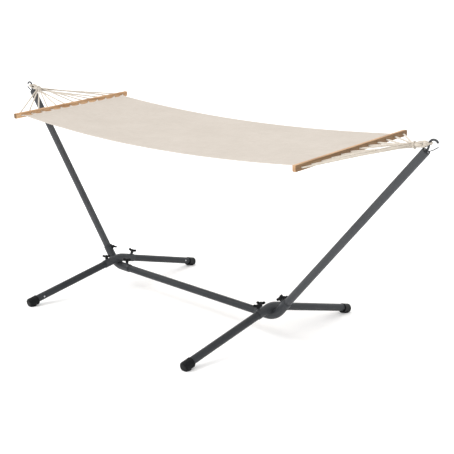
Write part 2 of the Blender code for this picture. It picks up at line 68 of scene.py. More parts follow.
# Stand: tubes and hubs
TUBE_R = 0.021
TUBE_WALL = 0.0015
SLEEVE_R = 0.0242
SOCKET_R = 0.0216
CORNER_X = 0.653
SPINE_Z = 0.125
UPRIGHT_ANGLE = math.radians(49.7)
UPRIGHT_LENGTH = 1.299
ELBOW_R = 0.120
SLEEVE_LENGTH = 0.130
APEX_X = 0.625
APEX_Z = 0.176
LEG_SLOPE = math.radians(13.4)
LEG_LEAN = math.radians(7)
LEG_BEND_R = 0.150
LEG_SLEEVE_LENGTH = 0.115
LEG_LENGTH = 0.664
INSERT_CLEARANCE = 0.006
KNOB_ALONG_ARM = 0.102
KNOB_ALONG_LEG = 0.095
BOSS_R = 0.0085
BOSS_TOP = 0.033
STUD_R = 0.0038
STUD_HOLE_R = 0.0044
SLEEVE_SIDES = 56
SLEEVE_EDGE = 0.0007
KNOB_TOP = 0.056
WING_WAY = (0.72, 0.69, 0)
WING_Z = 0.0505
RIGHT_UPRIGHT_WING_WAY = (0.98, 0.10, 0)
WING_HALF = 0.0235
WELD_R = 0.0058
WELD_PITCH = 0.0028
BEAD_RIPPLE = 0.16
SHORTEST_SEAM = 20
VOXEL = 0.00065

# Feet
CAP_START = 0.616
CAP_END = 0.675
CAP_R = 0.0268
CAP_DROP = 0.0036
CAP_ROUND = 0.0105
CAP_BORE_R = 0.0214
PAD_AT = 0.646
PAD_R = 0.0235
PAD_TOP = 0.014
SCREW_FROM_CAP = 0.040
SCREW_RAISE = math.radians(15)
SCREW_R = 0.0018
SCREW_HEAD_R = 0.0048
SCREW_HEAD_HEIGHT = 0.0024
SCREW_REACH = 0.0055

# Hook, keeper and ring
PLATE_THICKNESS = 0.0028
SPIGOT = 0.030
LUG_SIZE = (0.008, 0.002, 0.010)
LUG_Y = 0.0052
HOOK_BAR_R = 0.0055
HOOK_CENTRE_X = 1.531
HOOK_CENTRE_Z = 1.1485
HOOK_R = 0.024
HOOK_TIP_ANGLE = math.radians(22)
HOOK_RISE = 0.012
KEEPER_ACROSS = 0.014
KEEPER_HEIGHT = 0.005
KEEPER_ANGLE = math.radians(32)
KEEPER_LENGTH = 0.055
KEEPER_WIRE_R = 0.0021
PIN_R = 0.0016
SWING_Z = 1.155
SEAT_GAP = 0.0012
RING_R = 0.0175
RING_WIRE_R = 0.003
SERVING_R = 0.0009
SERVING_SWELL = (0.0009, 0.0040)
SERVED_FROM = 44
SERVING_TURNS = 24
THINNING_FROM = 120
THIN_FROM = 146
SEAT_SHIFT = 0.0008
FIT_GAP = 0.0004

# Hammock
BAR_X = {-1: -1.065, 1: 1.100}
BAR_Z = 1.0725
BAR_TILT = math.radians(5.5)
BAR_LENGTH = 0.864
BAR_THICKNESS = 0.024
BAR_HEIGHT = 0.031
BAR_EDGE_R = 0.005
# Bar faces turned this way get painted shade, a darker beech for the right bar's hook side and the
# left bar's near end
PAINTED_SHADE_WAY = {-1: (0, -1, 0), 1: (0.93, 0, 0.37)}
PAINTED_SHADE_COSINE = 0.45
HOLES = 12
HOLE_PITCH = 0.0714
HOLE_R = 0.0038
CORD_R = 0.0036
CORD_LOFT = 0.28
CORD_TWIST = 0.0175
CORD_PITCH = 0.0065
INNER_TURN_R = 0.0066
EDGE_TURN_R = 0.0095
OUTER_TURN_R = 0.0131
TIE_START = 0.046
TIE_WIDTH = 0.013
TIE_INNER_R = 0.0142
TIE_CORD_R = 0.0014
TIE_TAIL = 0.013
CORE_PROFILE = [(0, 0.006), (0.0060, 0.008), (0.0095, 0.014), (0.0115, 0.030), (0.0120, 0.048)]
CORE_PROFILE += [(0.0115, 0.060), (0.0075, 0.078), (0, 0.092)]
CORE_FLATNESS = 0.72
HEM_GAP = 0.030
BED_HALF_WIDTH_MIDDLE = 0.390
BED_HALF_WIDTH_END = 0.378
BED_LOW_Z = 1.0235
BED_RISE = 0.0425
BED_DISH = 0.006
PEAK_GAP = 0.0165
SCALLOP = 0.012
CLOTH = 0.0011
BED_ROWS = 240
BED_COLUMNS = 132
SIDE_HEM = 0.015
SIDE_HEM_THICKNESS = 0.0031
SIDE_HEM_STEPS = 8
END_HEM = 0.024
END_HEM_THICKNESS = 0.0033
END_HEM_STEPS = 12
END_HEM_ROWS = 300
CORD_IN_HEM = 0.011
CORD_FROM_SIDE = 0.006
CORD_LUMP = (0.0042, 0.017)
STITCH = (0.0042, 0.0030, 0.00042)

# Coats, each from its darker to its lighter tone: one anthracite powder coat in three copies, the
# uprights' lighter as painted light, the legs' and floor tube's darker as painted shade, the hubs'
# in between
PAINTED_LIGHT_COATS = {
    "anthracite_painted_lit": ((0.050, 0.053, 0.058), (0.058, 0.061, 0.066)),
    "anthracite_hub_painted_mid": ((0.034, 0.037, 0.042), (0.041, 0.044, 0.049)),
    "anthracite_painted_shaded": ((0.020, 0.023, 0.027), (0.027, 0.030, 0.034)),
}
WARP_BANDS = 300.0
WEFT_BANDS = 760.0 / 3.0
CANVAS_TONES = ((0.438, 0.388, 0.334), (0.495, 0.443, 0.388))
HEM_TONES = ((0.476, 0.427, 0.373), (0.534, 0.484, 0.430))
CORD_TONES = ((0.530, 0.472, 0.400), (0.640, 0.578, 0.498))
BEECH_TONES = ((0.345, 0.192, 0.094), (0.520, 0.322, 0.175), (0.660, 0.450, 0.270))
# Tint of the darker beech copy that carries the bars' painted shade
BEECH_PAINTED_SHADE = (0.40, 0.38, 0.33)

# Stage
FLOOR_R = 400.0
FLOOR_Z = -0.0005
FLOOR_TONES = ((0.95, 0.95, 0.95), (0.96, 0.96, 0.96))
SKY_LEVEL = 1.12
SKY_SLOPE = (-0.10, -0.02, 0.12)
SUN_FROM = (-0.45, -0.35, 0.82)
SUN_STRENGTH = 1.25
SUN_SOFTNESS = math.radians(45)


# Mesh helpers


def unit(vector):
    vector = np.asarray(vector, float)
    return vector / np.linalg.norm(vector)


def placed(origin, z_axis, x_hint=(0, 1, 0)):
    """A frame's matrix at origin, its Z along z_axis and its X as near x_hint as can be."""
    z = unit(z_axis)
    y = unit(np.cross(z, x_hint))
    x = np.cross(y, z)
    matrix = np.eye(4)
    matrix[:3, 0], matrix[:3, 1], matrix[:3, 2], matrix[:3, 3] = x, y, z, origin
    return matrix


def moved(matrix, points):
    points = np.asarray(points, float)
    return points @ matrix[:3, :3].T + matrix[:3, 3]


def linked(name, data):
    obj = bpy.data.objects.new(name, data)
    bpy.context.scene.collection.objects.link(obj)
    return obj


class Shape:
    """Points and faces gathered for one piece; each face keeps its material's index."""

    def __init__(self):
        self.points, self.faces, self.indices = [], [], []

    def add(self, made, matrix=None, index=0):
        points, faces = made
        first = len(self.points)
        if matrix is not None:
            points = moved(matrix, points)
        self.points.extend(tuple(map(float, point)) for point in points)
        self.faces.extend(tuple(first + corner for corner in face) for face in faces)
        self.indices.extend([index] * len(faces))
        return self

    def object(self, name):
        mesh = bpy.data.meshes.new(name)
        mesh.from_pydata(self.points, [], self.faces)
        mesh.polygons.foreach_set("material_index", self.indices)
        bm = bmesh.new()
        bm.from_mesh(mesh)
        bmesh.ops.recalc_face_normals(bm, faces=bm.faces)
        bm.to_mesh(mesh)
        bm.free()
        return linked(name, mesh)


def dressed(obj, material, body, nodes=(), sharp=40):
    """Gives a finished mesh its material, its body and the CAD nodes that it stands for."""
    if material is not None:
        obj.data.materials.clear()
        obj.data.materials.append(material)
        obj.data.polygons.foreach_set("material_index", [0] * len(obj.data.polygons))
    obj.data.shade_smooth()
    obj.data.set_sharp_from_angle(angle=math.radians(sharp))
    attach(obj, body)
    if nodes:
        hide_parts(*nodes)
    return obj


def applied(obj):
    """Replaces the object's mesh with the one its modifiers make."""
    graph = bpy.context.evaluated_depsgraph_get()
    mesh = bpy.data.meshes.new_from_object(obj.evaluated_get(graph))
    old, obj.data = obj.data, mesh
    obj.modifiers.clear()
    bpy.data.meshes.remove(old)
    mesh.name = obj.name
    return obj


def boolean(target, operand, operation):
    modifier = target.modifiers.new(operation, "BOOLEAN")
    modifier.operation = operation
    modifier.solver = "EXACT"
    modifier.object = operand
    applied(target)
    bpy.data.objects.remove(operand, do_unlink=True)
    return target


def solid(made, name, matrix=None):
    return Shape().add(made, matrix).object(name)


def join(target, made, matrix=None):
    return boolean(target, solid(made, "addition", matrix), "UNION")


def cut(target, made, matrix=None):
    return boolean(target, solid(made, "cutter", matrix), "DIFFERENCE")


def arc(centre, radius, start, end, steps):
    """Points of a turned profile on a round edge, as (radius, height); angles in degrees."""
    angles = np.radians(np.linspace(start, end, steps + 1))
    return [(centre[0] + radius * math.cos(a), centre[1] + radius * math.sin(a)) for a in angles]


def lathe(profile, sides=48, closed=False):
    """A (radius, height) profile turned round Z, with a point where it meets the axis."""
    points, rings, faces = [], [], []
    for radius, height in profile:
        if radius < 1e-7:
            rings.append([len(points)] * sides)
            points.append((0, 0, height))
            continue
        rings.append([len(points) + side for side in range(sides)])
        for side in range(sides):
            angle = TAU * side / sides
            points.append((radius * math.cos(angle), radius * math.sin(angle), height))
    pairs = list(zip(rings, rings[1:])) + ([(rings[-1], rings[0])] if closed else [])
    for upper, lower in pairs:
        for side in range(sides):
            after = (side + 1) % sides
            corners = (upper[side], lower[side], lower[after], upper[after])
            face = tuple(dict.fromkeys(corners))
            if len(face) > 2:
                faces.append(face)
    return points, faces


def lengths_along(points):
    gaps = np.linalg.norm(np.diff(points, axis=0), axis=1)
    return np.concatenate([[0], np.cumsum(gaps)])


def resampled(points, step):
    along = lengths_along(points)
    count = max(2, int(round(along[-1] / step)) + 1)
    at = np.linspace(0, along[-1], count)
    return np.stack([np.interp(at, along, points[:, axis]) for axis in range(3)], axis=1)


def rounded(points, radius):
    """The polyline with each corner replaced by a short curve."""
    points = [np.asarray(point, float) for point in points]
    made = [points[0]]
    for before, corner_point, after in zip(points, points[1:], points[2:]):
        back, on = before - corner_point, after - corner_point
        reach = min(radius, np.linalg.norm(back) / 2, np.linalg.norm(on) / 2)
        start, end = corner_point + unit(back) * reach, corner_point + unit(on) * reach
        for t in np.linspace(0, 1, 7):
            made.append(start * (1 - t) ** 2 + corner_point * 2 * t * (1 - t) + end * t**2)
    made.append(points[-1])
    made = np.array(made)
    keep = np.concatenate([[True], np.linalg.norm(np.diff(made, axis=0), axis=1) > 1e-7])
    return made[keep]


def frames_along(points, closed=False):
    """Tangents and two normals at each point, carried along without twisting."""
    if closed:
        tangents = np.roll(points, -1, axis=0) - np.roll(points, 1, axis=0)
    else:
        tangents = np.gradient(points, axis=0)
    tangents /= np.linalg.norm(tangents, axis=1)[:, None]
    hint = (0, 0, 1) if abs(tangents[0][2]) < 0.9 else (1, 0, 0)
    normal = unit(np.cross(np.cross(tangents[0], hint), tangents[0]))
    normals = []
    for tangent in tangents:
        normal = unit(normal - tangent * (normal @ tangent))
        normals.append(normal)
    normals = np.array(normals)
    return tangents, normals, np.cross(tangents, normals)


def circle(sides):
    angles = np.arange(sides) * TAU / sides
    return np.stack([np.cos(angles), np.sin(angles)], axis=1)


def scaled(section, scales):
    """The same section at a size of its own for each point of a path."""
    return section[None] * np.asarray(scales)[:, None, None]


def ring_points(radius, count):
    """Points round the origin in the XY plane, after their angles."""
    angles = np.linspace(0, TAU, count + 1)[:-1]
    return angles, np.stack([radius * np.cos(angles), radius * np.sin(angles), 0 * angles], axis=1)


def sweep(points, sections, closed=False):
    """Sections, one for all or one at each point, carried along the points."""
    points = np.asarray(points, float)
    _, normals, across = frames_along(points, closed)
    sections = np.asarray(sections, float)
    if sections.ndim == 2:
        sections = np.broadcast_to(sections, (len(points), *sections.shape))
    rings = points[:, None] + sections[..., :1] * normals[:, None]
    rings = rings + sections[..., 1:] * across[:, None]
    count, sides = rings.shape[:2]
    faces = []
    for ring in range(count if closed else count - 1):
        here, there = ring * sides, (ring + 1) % count * sides
        for side in range(sides):
            after = (side + 1) % sides
            faces.append((here + side, here + after, there + after, there + side))
    if not closed:
        faces.append(tuple(range(sides)))
        faces.append(tuple((count - 1) * sides + side for side in range(sides)))
    return rings.reshape(-1, 3), faces


def bar_along(points, radius, sides, edge=0.0, dome=False):
    """A round bar along the points, with eased or domed ends."""
    points = np.asarray(points, float)
    scale = np.ones(len(points))
    if edge or dome:
        reach = radius if dome else edge
        steps = 5 if dome else 2
        along = lengths_along(points)
        inner = points[(along > reach * 1.05) & (along < along[-1] - reach * 1.05)]
        first = unit(points[1] - points[0])
        last = unit(points[-1] - points[-2])
        shares = np.sin(np.linspace(0, math.pi / 2, steps + 1))
        shares[0] = 0.12 if dome else 0.0
        start = [points[0] + first * reach * (1 - math.cos(math.asin(s))) for s in shares]
        end = [points[-1] - last * reach * (1 - math.cos(math.asin(s))) for s in shares]
        ease = 1 - (1 - shares) * (1 if dome else edge / radius)
        points = np.array([*start, *inner, *end[::-1]])
        scale = np.concatenate([ease, np.ones(len(inner)), ease[::-1]])
    return sweep(points, scaled(circle(sides), radius * scale))


def box_shape(size, edge, matrix):
    """A box with rounded edges."""
    bm = bmesh.new()
    bmesh.ops.create_cube(bm, size=1.0, matrix=Matrix.Diagonal((*size, 1.0)))
    bmesh.ops.bevel(bm, geom=bm.edges[:], offset=edge, segments=4, affect="EDGES", profile=0.5)
    points = moved(matrix, [vert.co for vert in bm.verts])
    bm.verts.index_update()
    faces = [tuple(vert.index for vert in face.verts) for face in bm.faces]
    bm.free()
    return points, faces


def shell(grid, thickness):
    """A closed sheet round a grid of points; thickness is one number or one for each point."""
    rows, columns = grid.shape[:2]
    along, across = np.gradient(grid, axis=0), np.gradient(grid, axis=1)
    normals = np.cross(along, across)
    normals /= np.linalg.norm(normals, axis=2)[..., None]
    half = np.broadcast_to(np.asarray(thickness, float) / 2, (rows, columns))[..., None]
    points = np.concatenate([(grid + normals * half), (grid - normals * half)]).reshape(-1, 3)
    below = rows * columns
    faces = []
    for row in range(rows - 1):
        for column in range(columns - 1):
            here = row * columns + column
            quad = (here, here + columns, here + columns + 1, here + 1)
            faces += [quad, tuple(below + corner for corner in reversed(quad))]
    border = [row * columns for row in range(rows)]
    border += [(rows - 1) * columns + column for column in range(1, columns)]
    border += [row * columns + columns - 1 for row in range(rows - 2, -1, -1)]
    border += range(columns - 2, 0, -1)
    for first, second in zip(border, border[1:] + border[:1]):
        faces.append((first, below + first, below + second, second))
    return points, faces


# Materials


class Nodes:
    """A new node material and short ways to add to it."""

    def __init__(self, name):
        self.material = bpy.data.materials.new(name)
        self.material.use_nodes = True
        self.tree = self.material.node_tree
        self.shader = self.tree.nodes["Principled BSDF"]
        self.position = self.add("TexCoord", "Object")

    def link(self, start, end):
        self.tree.links.new(start, end)

    def add(self, kind, output, sockets=(), **settings):
        """A new node's output; each socket that is named takes a value or a link."""
        node = self.tree.nodes.new(f"ShaderNode{kind}")
        for setting, value in settings.items():
            setattr(node, setting, value)
        for socket, value in dict(sockets).items():
            if isinstance(value, bpy.types.NodeSocket):
                self.link(value, node.inputs[socket])
            else:
                node.inputs[socket].default_value = value
        return node.outputs[output]

    def set(self, **values):
        for socket, value in values.items():
            self.shader.inputs[socket.replace("_", " ")].default_value = value

    def stretched(self, scale):
        return self.add("Mapping", "Vector", {"Vector": self.position, "Scale": scale})

    def noise(self, scale, detail=3.0, roughness=0.5, vector=None):
        sockets = {"Vector": vector or self.position, "Scale": scale}
        sockets |= {"Detail": detail, "Roughness": roughness}
        return self.add("TexNoise", "Fac", sockets)

    def wave(self, scale, direction, distortion):
        sockets = {"Vector": self.position, "Scale": scale}
        sockets |= {"Distortion": distortion, "Detail": 1.0}
        return self.add("TexWave", "Fac", sockets, bands_direction=direction)

    def ramp(self, factor, *stops):
        colour = self.add("ValToRGB", "Color", {"Fac": factor})
        elements = colour.node.color_ramp.elements
        while len(elements) < len(stops):
            elements.new(0.5)
        for element, (place, tone) in zip(elements, stops):
            element.position = place
            element.color = (*tone, 1.0)
        return colour

    def range(self, value, low, high):
        return self.add("MapRange", "Result", {"Value": value, "To Min": low, "To Max": high})

    def math(self, operation, first, second):
        return self.add("Math", "Value", {0: first, 1: second}, operation=operation)

    def multiplied(self, share, first, second):
        """The first colour, darkened by a share of the second."""
        sockets = {0: share, 6: first, 7: second}
        return self.add("Mix", 2, sockets, data_type="RGBA", blend_type="MULTIPLY")

    def bump(self, height, distance, strength):
        sockets = {"Height": height, "Distance": distance, "Strength": strength}
        return self.add("Bump", "Normal", sockets)

    def out(self, socket, value):
        self.link(value, self.shader.inputs[socket])


def powder_coat(name, low, high, roughness, gloss):
    """Satin polyester powder coat: fine orange peel, faint cloudiness and scuffs."""
    nodes = Nodes(name)
    cloud = nodes.noise(9.0, 4.0, 0.6)
    nodes.out("Base Color", nodes.ramp(cloud, (0.30, low), (0.70, high)))
    scuff = nodes.noise(60.0, 5.0, 0.65)
    nodes.out("Roughness", nodes.range(scuff, roughness - 0.05, roughness + 0.07))
    peel = nodes.noise(1100.0, 2.0, 0.5)
    nodes.out("Normal", nodes.bump(peel, 0.00012, 0.35))
    nodes.set(Specular_IOR_Level=gloss)
    return nodes.material


def moulded_plastic(name, colour, roughness):
    """Spark-eroded plastic grain."""
    nodes = Nodes(name)
    grain = nodes.noise(1600.0, 2.0, 0.6)
    dust = nodes.noise(25.0, 4.0, 0.6)
    lighter = tuple(channel * 1.6 for channel in colour)
    nodes.out("Base Color", nodes.ramp(dust, (0.35, colour), (0.75, lighter)))
    nodes.out("Roughness", nodes.range(grain, roughness - 0.06, roughness + 0.08))
    nodes.out("Normal", nodes.bump(grain, 0.00010, 0.4))
    nodes.set(Specular_IOR_Level=0.12)
    return nodes.material


def plated_steel(name, colour, roughness):
    nodes = Nodes(name)
    bloom = nodes.noise(140.0, 4.0, 0.6)
    duller = tuple(channel * 0.78 for channel in colour)
    nodes.out("Base Color", nodes.ramp(bloom, (0.35, duller), (0.65, colour)))
    nodes.out("Roughness", nodes.range(bloom, roughness + 0.10, roughness - 0.04))
    nodes.out("Normal", nodes.bump(nodes.noise(900.0), 0.00006, 0.3))
    nodes.set(Metallic=1.0)
    return nodes.material


def beech(name, tint=(1.0, 1.0, 1.0)):
    """Steamed beech: long grain along the bar, short dark flecks and end-grain rings."""
    nodes = Nodes(name)
    grain_vector = nodes.stretched((1.0, 0.045, 1.0))
    broad = nodes.noise(75.0, 4.0, 0.55, grain_vector)
    lines = nodes.noise(420.0, 3.0, 0.6, grain_vector)
    tones = [tuple(c * t for c, t in zip(colour, tint)) for colour in BEECH_TONES]
    colour = nodes.ramp(broad, *zip((0.28, 0.50, 0.74), tones))
    streak = nodes.ramp(lines, (0.38, (0.68, 0.58, 0.50)), (0.58, (1.0, 1.0, 1.0)))
    colour = nodes.multiplied(0.75, colour, streak)
    fleck = nodes.noise(900.0, 1.0, 0.5, nodes.stretched((1.0, 0.11, 1.0)))
    mark = nodes.ramp(fleck, (0.62, (1.0, 1.0, 1.0)), (0.70, (0.62, 0.48, 0.38)))
    colour = nodes.multiplied(0.55, colour, mark)
    nodes.out("Base Color", colour)
    nodes.out("Roughness", nodes.range(broad, 0.50, 0.66))
    nodes.out("Normal", nodes.bump(lines, 0.00018, 0.5))
    nodes.set(Specular_IOR_Level=0.3)
    return nodes.material


def cotton_cord(name):
    """Soft undyed cotton with a fuzzy surface and a slow drift of tone."""
    nodes = Nodes(name)
    fuzz = nodes.noise(1500.0, 3.0, 0.7)
    tone = nodes.noise(30.0, 3.0, 0.5)
    nodes.out("Base Color", nodes.ramp(tone, *zip((0.3, 0.7), CORD_TONES)))
    nodes.out("Normal", nodes.bump(fuzz, 0.00035, 0.6))
    nodes.set(Roughness=0.95, Sheen_Weight=0.25, Sheen_Roughness=0.6, Specular_IOR_Level=0.2)
    return nodes.material


def canvas(name, low, high):
    """Plain-weave cotton canvas with slubs and a faint seedy mottling."""
    nodes = Nodes(name)
    warp = nodes.wave(WARP_BANDS, "Y", 0.6)
    weft = nodes.wave(WEFT_BANDS, "X", 0.6)
    over = nodes.math("MULTIPLY", warp, weft)
    slub_x = nodes.noise(160.0, 3.0, 0.6, nodes.stretched((0.06, 1.0, 1.0)))
    slub_y = nodes.noise(170.0, 3.0, 0.6, nodes.stretched((1.0, 0.08, 1.0)))
    slubs = nodes.math("ADD", slub_x, slub_y)
    tone = nodes.noise(5.0, 4.0, 0.55)
    streaks, mottle = (nodes.math("MULTIPLY", *pair) for pair in ((slubs, 0.35), (tone, 0.3)))
    mixed = nodes.math("ADD", streaks, mottle)
    nodes.out("Base Color", nodes.ramp(mixed, (0.40, low), (0.62, high)))
    height = nodes.math("ADD", over, nodes.math("MULTIPLY", slubs, 0.6))
    nodes.out("Normal", nodes.bump(height, 0.00030, 0.45))
    nodes.set(Roughness=0.92, Sheen_Weight=0.15, Sheen_Roughness=0.6, Specular_IOR_Level=0.2)
    return nodes.material


def floor_material(name):
    nodes = Nodes(name)
    tone = nodes.noise(0.6, 2.0, 0.5)
    nodes.out("Base Color", nodes.ramp(tone, *zip((0.3, 0.7), FLOOR_TONES)))
    nodes.set(Roughness=0.9, Specular_IOR_Level=0.1)
    nodes.set(Emission_Color=(1, 1, 1, 1), Emission_Strength=0.10)
    return nodes.material


# Stand geometry


def rising(side, angle):
    """The way outward and up at an angle from the floor, and the way square to it, up and in."""
    cosine, sine = math.cos(angle), math.sin(angle)
    return np.array((side * cosine, 0, sine)), np.array((-side * sine, 0, cosine))


def arm_direction(side):
    return rising(side, UPRIGHT_ANGLE)[0]


def inner_normal(side):
    return rising(side, UPRIGHT_ANGLE)[1]


def corner(side):
    return np.array((side * CORNER_X, 0, SPINE_Z))


def upright_top(side):
    return corner(side) + arm_direction(side) * UPRIGHT_LENGTH


def leg_frame(side, hand):
    """The apex of the leg sleeve, the leg's direction and its upper normal."""
    apex = np.array((side * APEX_X, 0, APEX_Z))
    _, lean_up = rising(side, LEG_LEAN)
    across = np.array((0.0, hand, 0.0))
    direction = across * math.cos(LEG_SLOPE) - lean_up * math.sin(LEG_SLOPE)
    normal = across * math.sin(LEG_SLOPE) + lean_up * math.cos(LEG_SLOPE)
    return apex, direction, normal


def bent_path(meeting, first, second, radius, length, steps):
    """Two straight arms of equal length from their meeting point, joined by an arc."""
    turn = math.pi - math.acos(float(first @ second))
    tangent = radius * math.tan(turn / 2)
    inward = unit(first + second)
    centre = meeting + inward * (radius / math.cos(turn / 2))
    out = meeting + first * tangent - centre
    axis = unit(np.cross(out, meeting + second * tangent - centre))
    points = [meeting + first * length]
    for step in range(steps + 1):
        rotation = np.array(Matrix.Rotation(turn * step / steps, 3, Vector(axis)))
        points.append(centre + rotation @ out)
    points.append(meeting + second * length)
    return resampled(np.array(points), 0.004)


def knob_frames(side):
    """The place, outward direction and tube direction of each of a hub's four knobs."""
    arm = corner(side) + arm_direction(side) * KNOB_ALONG_ARM
    spine = corner(side) - np.array((side * KNOB_ALONG_ARM, 0, 0))
    frames = {
        "upright": (arm, inner_normal(side), arm_direction(side)),
        "spine": (spine, (0, 0, 1), (1, 0, 0)),
    }
    for name, hand in HANDS.items():
        apex, direction, normal = leg_frame(side, hand)
        frames[f"{name}_leg"] = (apex + direction * KNOB_ALONG_LEG, normal, direction)
    return frames


def elbow_path(side, extra):
    spine_way = np.array((-side, 0.0, 0.0))
    length = SLEEVE_LENGTH + extra
    return bent_path(corner(side), spine_way, arm_direction(side), ELBOW_R, length, 20)


def arch_path(side, extra):
    apex, front, _ = leg_frame(side, -1)
    _, rear, _ = leg_frame(side, 1)
    return bent_path(apex, front, rear, LEG_BEND_R, LEG_SLEEVE_LENGTH + extra, 12)


def seam_loops(mesh):
    """Closed loops of points where faces of two materials meet."""
    bm = bmesh.new()
    bm.from_mesh(mesh)
    nexts = {}
    for edge in bm.edges:
        if len({face.material_index for face in edge.link_faces}) == 2:
            first, second = edge.verts
            nexts.setdefault(first, []).append(second)
            nexts.setdefault(second, []).append(first)
    loops, seen = [], set()
    for start in nexts:
        if start in seen:
            continue
        loop, here = [], start
        while here is not None:
            seen.add(here)
            loop.append(np.array(here.co))
            here = next((vert for vert in nexts[here] if vert not in seen), None)
        loops.append(np.array(loop))
    bm.free()
    return loops


def bead(ring, radius, phase):
    """A weld bead along a closed ring of points, rippled by the sine of its phase."""
    ripple = 1 + BEAD_RIPPLE * np.abs(np.sin(phase))
    return sweep(ring, scaled(circle(8), radius * ripple), closed=True)


def seam_bead(loop):
    """The hub's main weld, along a closed loop of points."""
    ring = resampled(np.vstack([loop, loop[:1]]), WELD_PITCH / 4)[:-1]
    for _ in range(3):
        ring = (np.roll(ring, 1, axis=0) + ring * 2 + np.roll(ring, -1, axis=0)) / 4
    return bead(ring, WELD_R, math.pi * lengths_along(ring) / WELD_PITCH)


def boss_bead():
    """A small fillet weld where a round boss stands on a sleeve whose axis is the frame's X."""
    angles, ring = ring_points(BOSS_R + 0.0005, 96)
    ring[:, 2] = np.sqrt(SLEEVE_R**2 - ring[:, 1] ** 2) + 0.0002
    return bead(ring, 0.0013, angles * 10)


def make_hub(name, side, steel):
    """Elbow sleeve and arched leg sleeve welded together, with four threaded bosses."""
    paths = (elbow_path(side, 0), arch_path(side, 0))
    sleeves = [bar_along(path, SLEEVE_R, SLEEVE_SIDES, SLEEVE_EDGE) for path in paths]
    hub = Shape().add(sleeves[0], index=0).object(f"{name}_hub_weldment")
    arch = Shape().add(sleeves[1], index=1).object("arch")
    for sleeve in (hub, arch):
        for _ in range(2):
            sleeve.data.materials.append(steel)
    boolean(hub, arch, "UNION")
    beads = Shape()
    for loop in seam_loops(hub.data):
        if len(loop) > SHORTEST_SEAM:
            beads.add(seam_bead(loop))
    bosses, holes = Shape(), Shape()
    edge, foot = SLEEVE_EDGE, SOCKET_R + 0.001
    boss = [(0, BOSS_TOP), (BOSS_R - edge, BOSS_TOP)]
    boss += arc((BOSS_R - edge, BOSS_TOP - edge), edge, 90, 0, 3) + [(BOSS_R, foot), (0, foot)]
    top, bottom = BOSS_TOP + 0.002, SOCKET_R - 0.003
    hole = [(0, top), (STUD_HOLE_R, top), (STUD_HOLE_R, bottom), (0, bottom)]
    for place, outward, along in knob_frames(side).values():
        matrix = placed(place, outward, along)
        bosses.add(lathe(boss, 36), matrix)
        holes.add(lathe(hole, 24), matrix)
        beads.add(boss_bead(), matrix)
    boolean(hub, bosses.object("bosses"), "UNION")
    for path in (elbow_path(side, 0.005), arch_path(side, 0.005)):
        cut(hub, bar_along(path, SOCKET_R, SLEEVE_SIDES))
    boolean(hub, holes.object("holes"), "DIFFERENCE")
    dressed(hub, steel, "stand", [f"{name}_hub"])
    dressed(beads.object(f"{name}_hub_welds"), steel, "stand")


def tube_shape(length):
    """An open tube with eased ends, standing on z = 0."""
    edge, inner = 0.0004, TUBE_R - TUBE_WALL
    profile = [(TUBE_R - edge, length), (TUBE_R, length - edge), (TUBE_R, edge)]
    profile += [(TUBE_R - edge, 0), (inner, 0), (inner, length)]
    return lathe(profile, 72, closed=True)


def make_tubes(upper, lower):
    """The floor tube, the uprights and the legs, each from inside its hub to its far end."""
    elbow_tangent = ELBOW_R * math.tan(UPRIGHT_ANGLE / 2) + INSERT_CLEARANCE
    spine_end = CORNER_X - elbow_tangent
    spans = {"spine_tube": (np.array((-spine_end, 0, SPINE_Z)), np.array((spine_end, 0, SPINE_Z)))}
    leg_start = LEG_BEND_R * math.tan(LEG_SLOPE) + INSERT_CLEARANCE
    for name, side in SIDES.items():
        way = arm_direction(side)
        spans[f"{name}_upright"] = (corner(side) + way * elbow_tangent, upright_top(side))
        for hand_name, hand in HANDS.items():
            apex, direction, _ = leg_frame(side, hand)
            span = (apex + direction * leg_start, apex + direction * LEG_LENGTH)
            spans[f"{name}_{hand_name}_leg"] = span
    for node, (start, end) in spans.items():
        length = float(np.linalg.norm(end - start))
        matrix = placed(start, end - start, (0.3, 0.9, 0.2))
        # Uprights take the lighter copy of the coat and the other tubes the darker one: painted
        # light and painted shade
        coat = upper if node.endswith("upright") else lower
        tube = solid(tube_shape(length), f"{node}_coated", matrix)
        dressed(tube, coat, "stand", [node])


def make_foot_cap(name, side, hand, plastic):
    """Moulded end cap with a lip, open for its tube, on a treaded pad that stands on the floor."""
    apex, direction, normal = leg_frame(side, hand)
    round_at = (CAP_R - CAP_ROUND, CAP_END - CAP_ROUND)
    profile = [(0, CAP_END)] + arc(round_at, CAP_ROUND, 90, 0, 10)
    lip, lip_r, ease = CAP_START + 0.007, CAP_R + 0.0006, 0.0012
    profile += [(CAP_R, lip), (lip_r, lip - 0.0008), (lip_r, CAP_START + ease)]
    profile += arc((CAP_R - 0.0006, CAP_START + ease), ease, 0, -90, 3) + [(0, CAP_START)]
    dropped = placed(apex - normal * CAP_DROP, direction, normal)
    cap = solid(lathe(profile, 64), f"{name}_foot_cap_moulded", dropped)
    on_floor, below_floor = np.eye(4), np.eye(4)
    on_floor[:2, 3] = below_floor[:2, 3] = (apex + direction * PAD_AT)[:2]
    below_floor[2, 3] = -0.05
    pad = [(0, PAD_TOP), (PAD_R, PAD_TOP), (PAD_R - 0.0004, 0.004)]
    pad += arc((PAD_R - 0.0034, 0.003), 0.003, 0, -90, 5)
    for radius in (0.016, 0.012, 0.008):
        groove = ((0.0006, 0), (0, 0.0009), (-0.0008, 0.0009), (-0.0014, 0))
        pad += [(radius + reach, height) for reach, height in groove]
    pad += [(0, 0)]
    join(cap, lathe(pad, 64), on_floor)
    inside, outside = LEG_LENGTH + FIT_GAP, CAP_START - 0.01
    bore = [(0, inside), (CAP_BORE_R, inside), (CAP_BORE_R, outside), (0, outside)]
    cut(cap, lathe(bore, 64), placed(apex, direction, normal))
    cut(cap, box_shape((0.2, 0.2, 0.1), 0.001, below_floor))
    dressed(cap, plastic, "stand", [f"{name}_foot_cap"])


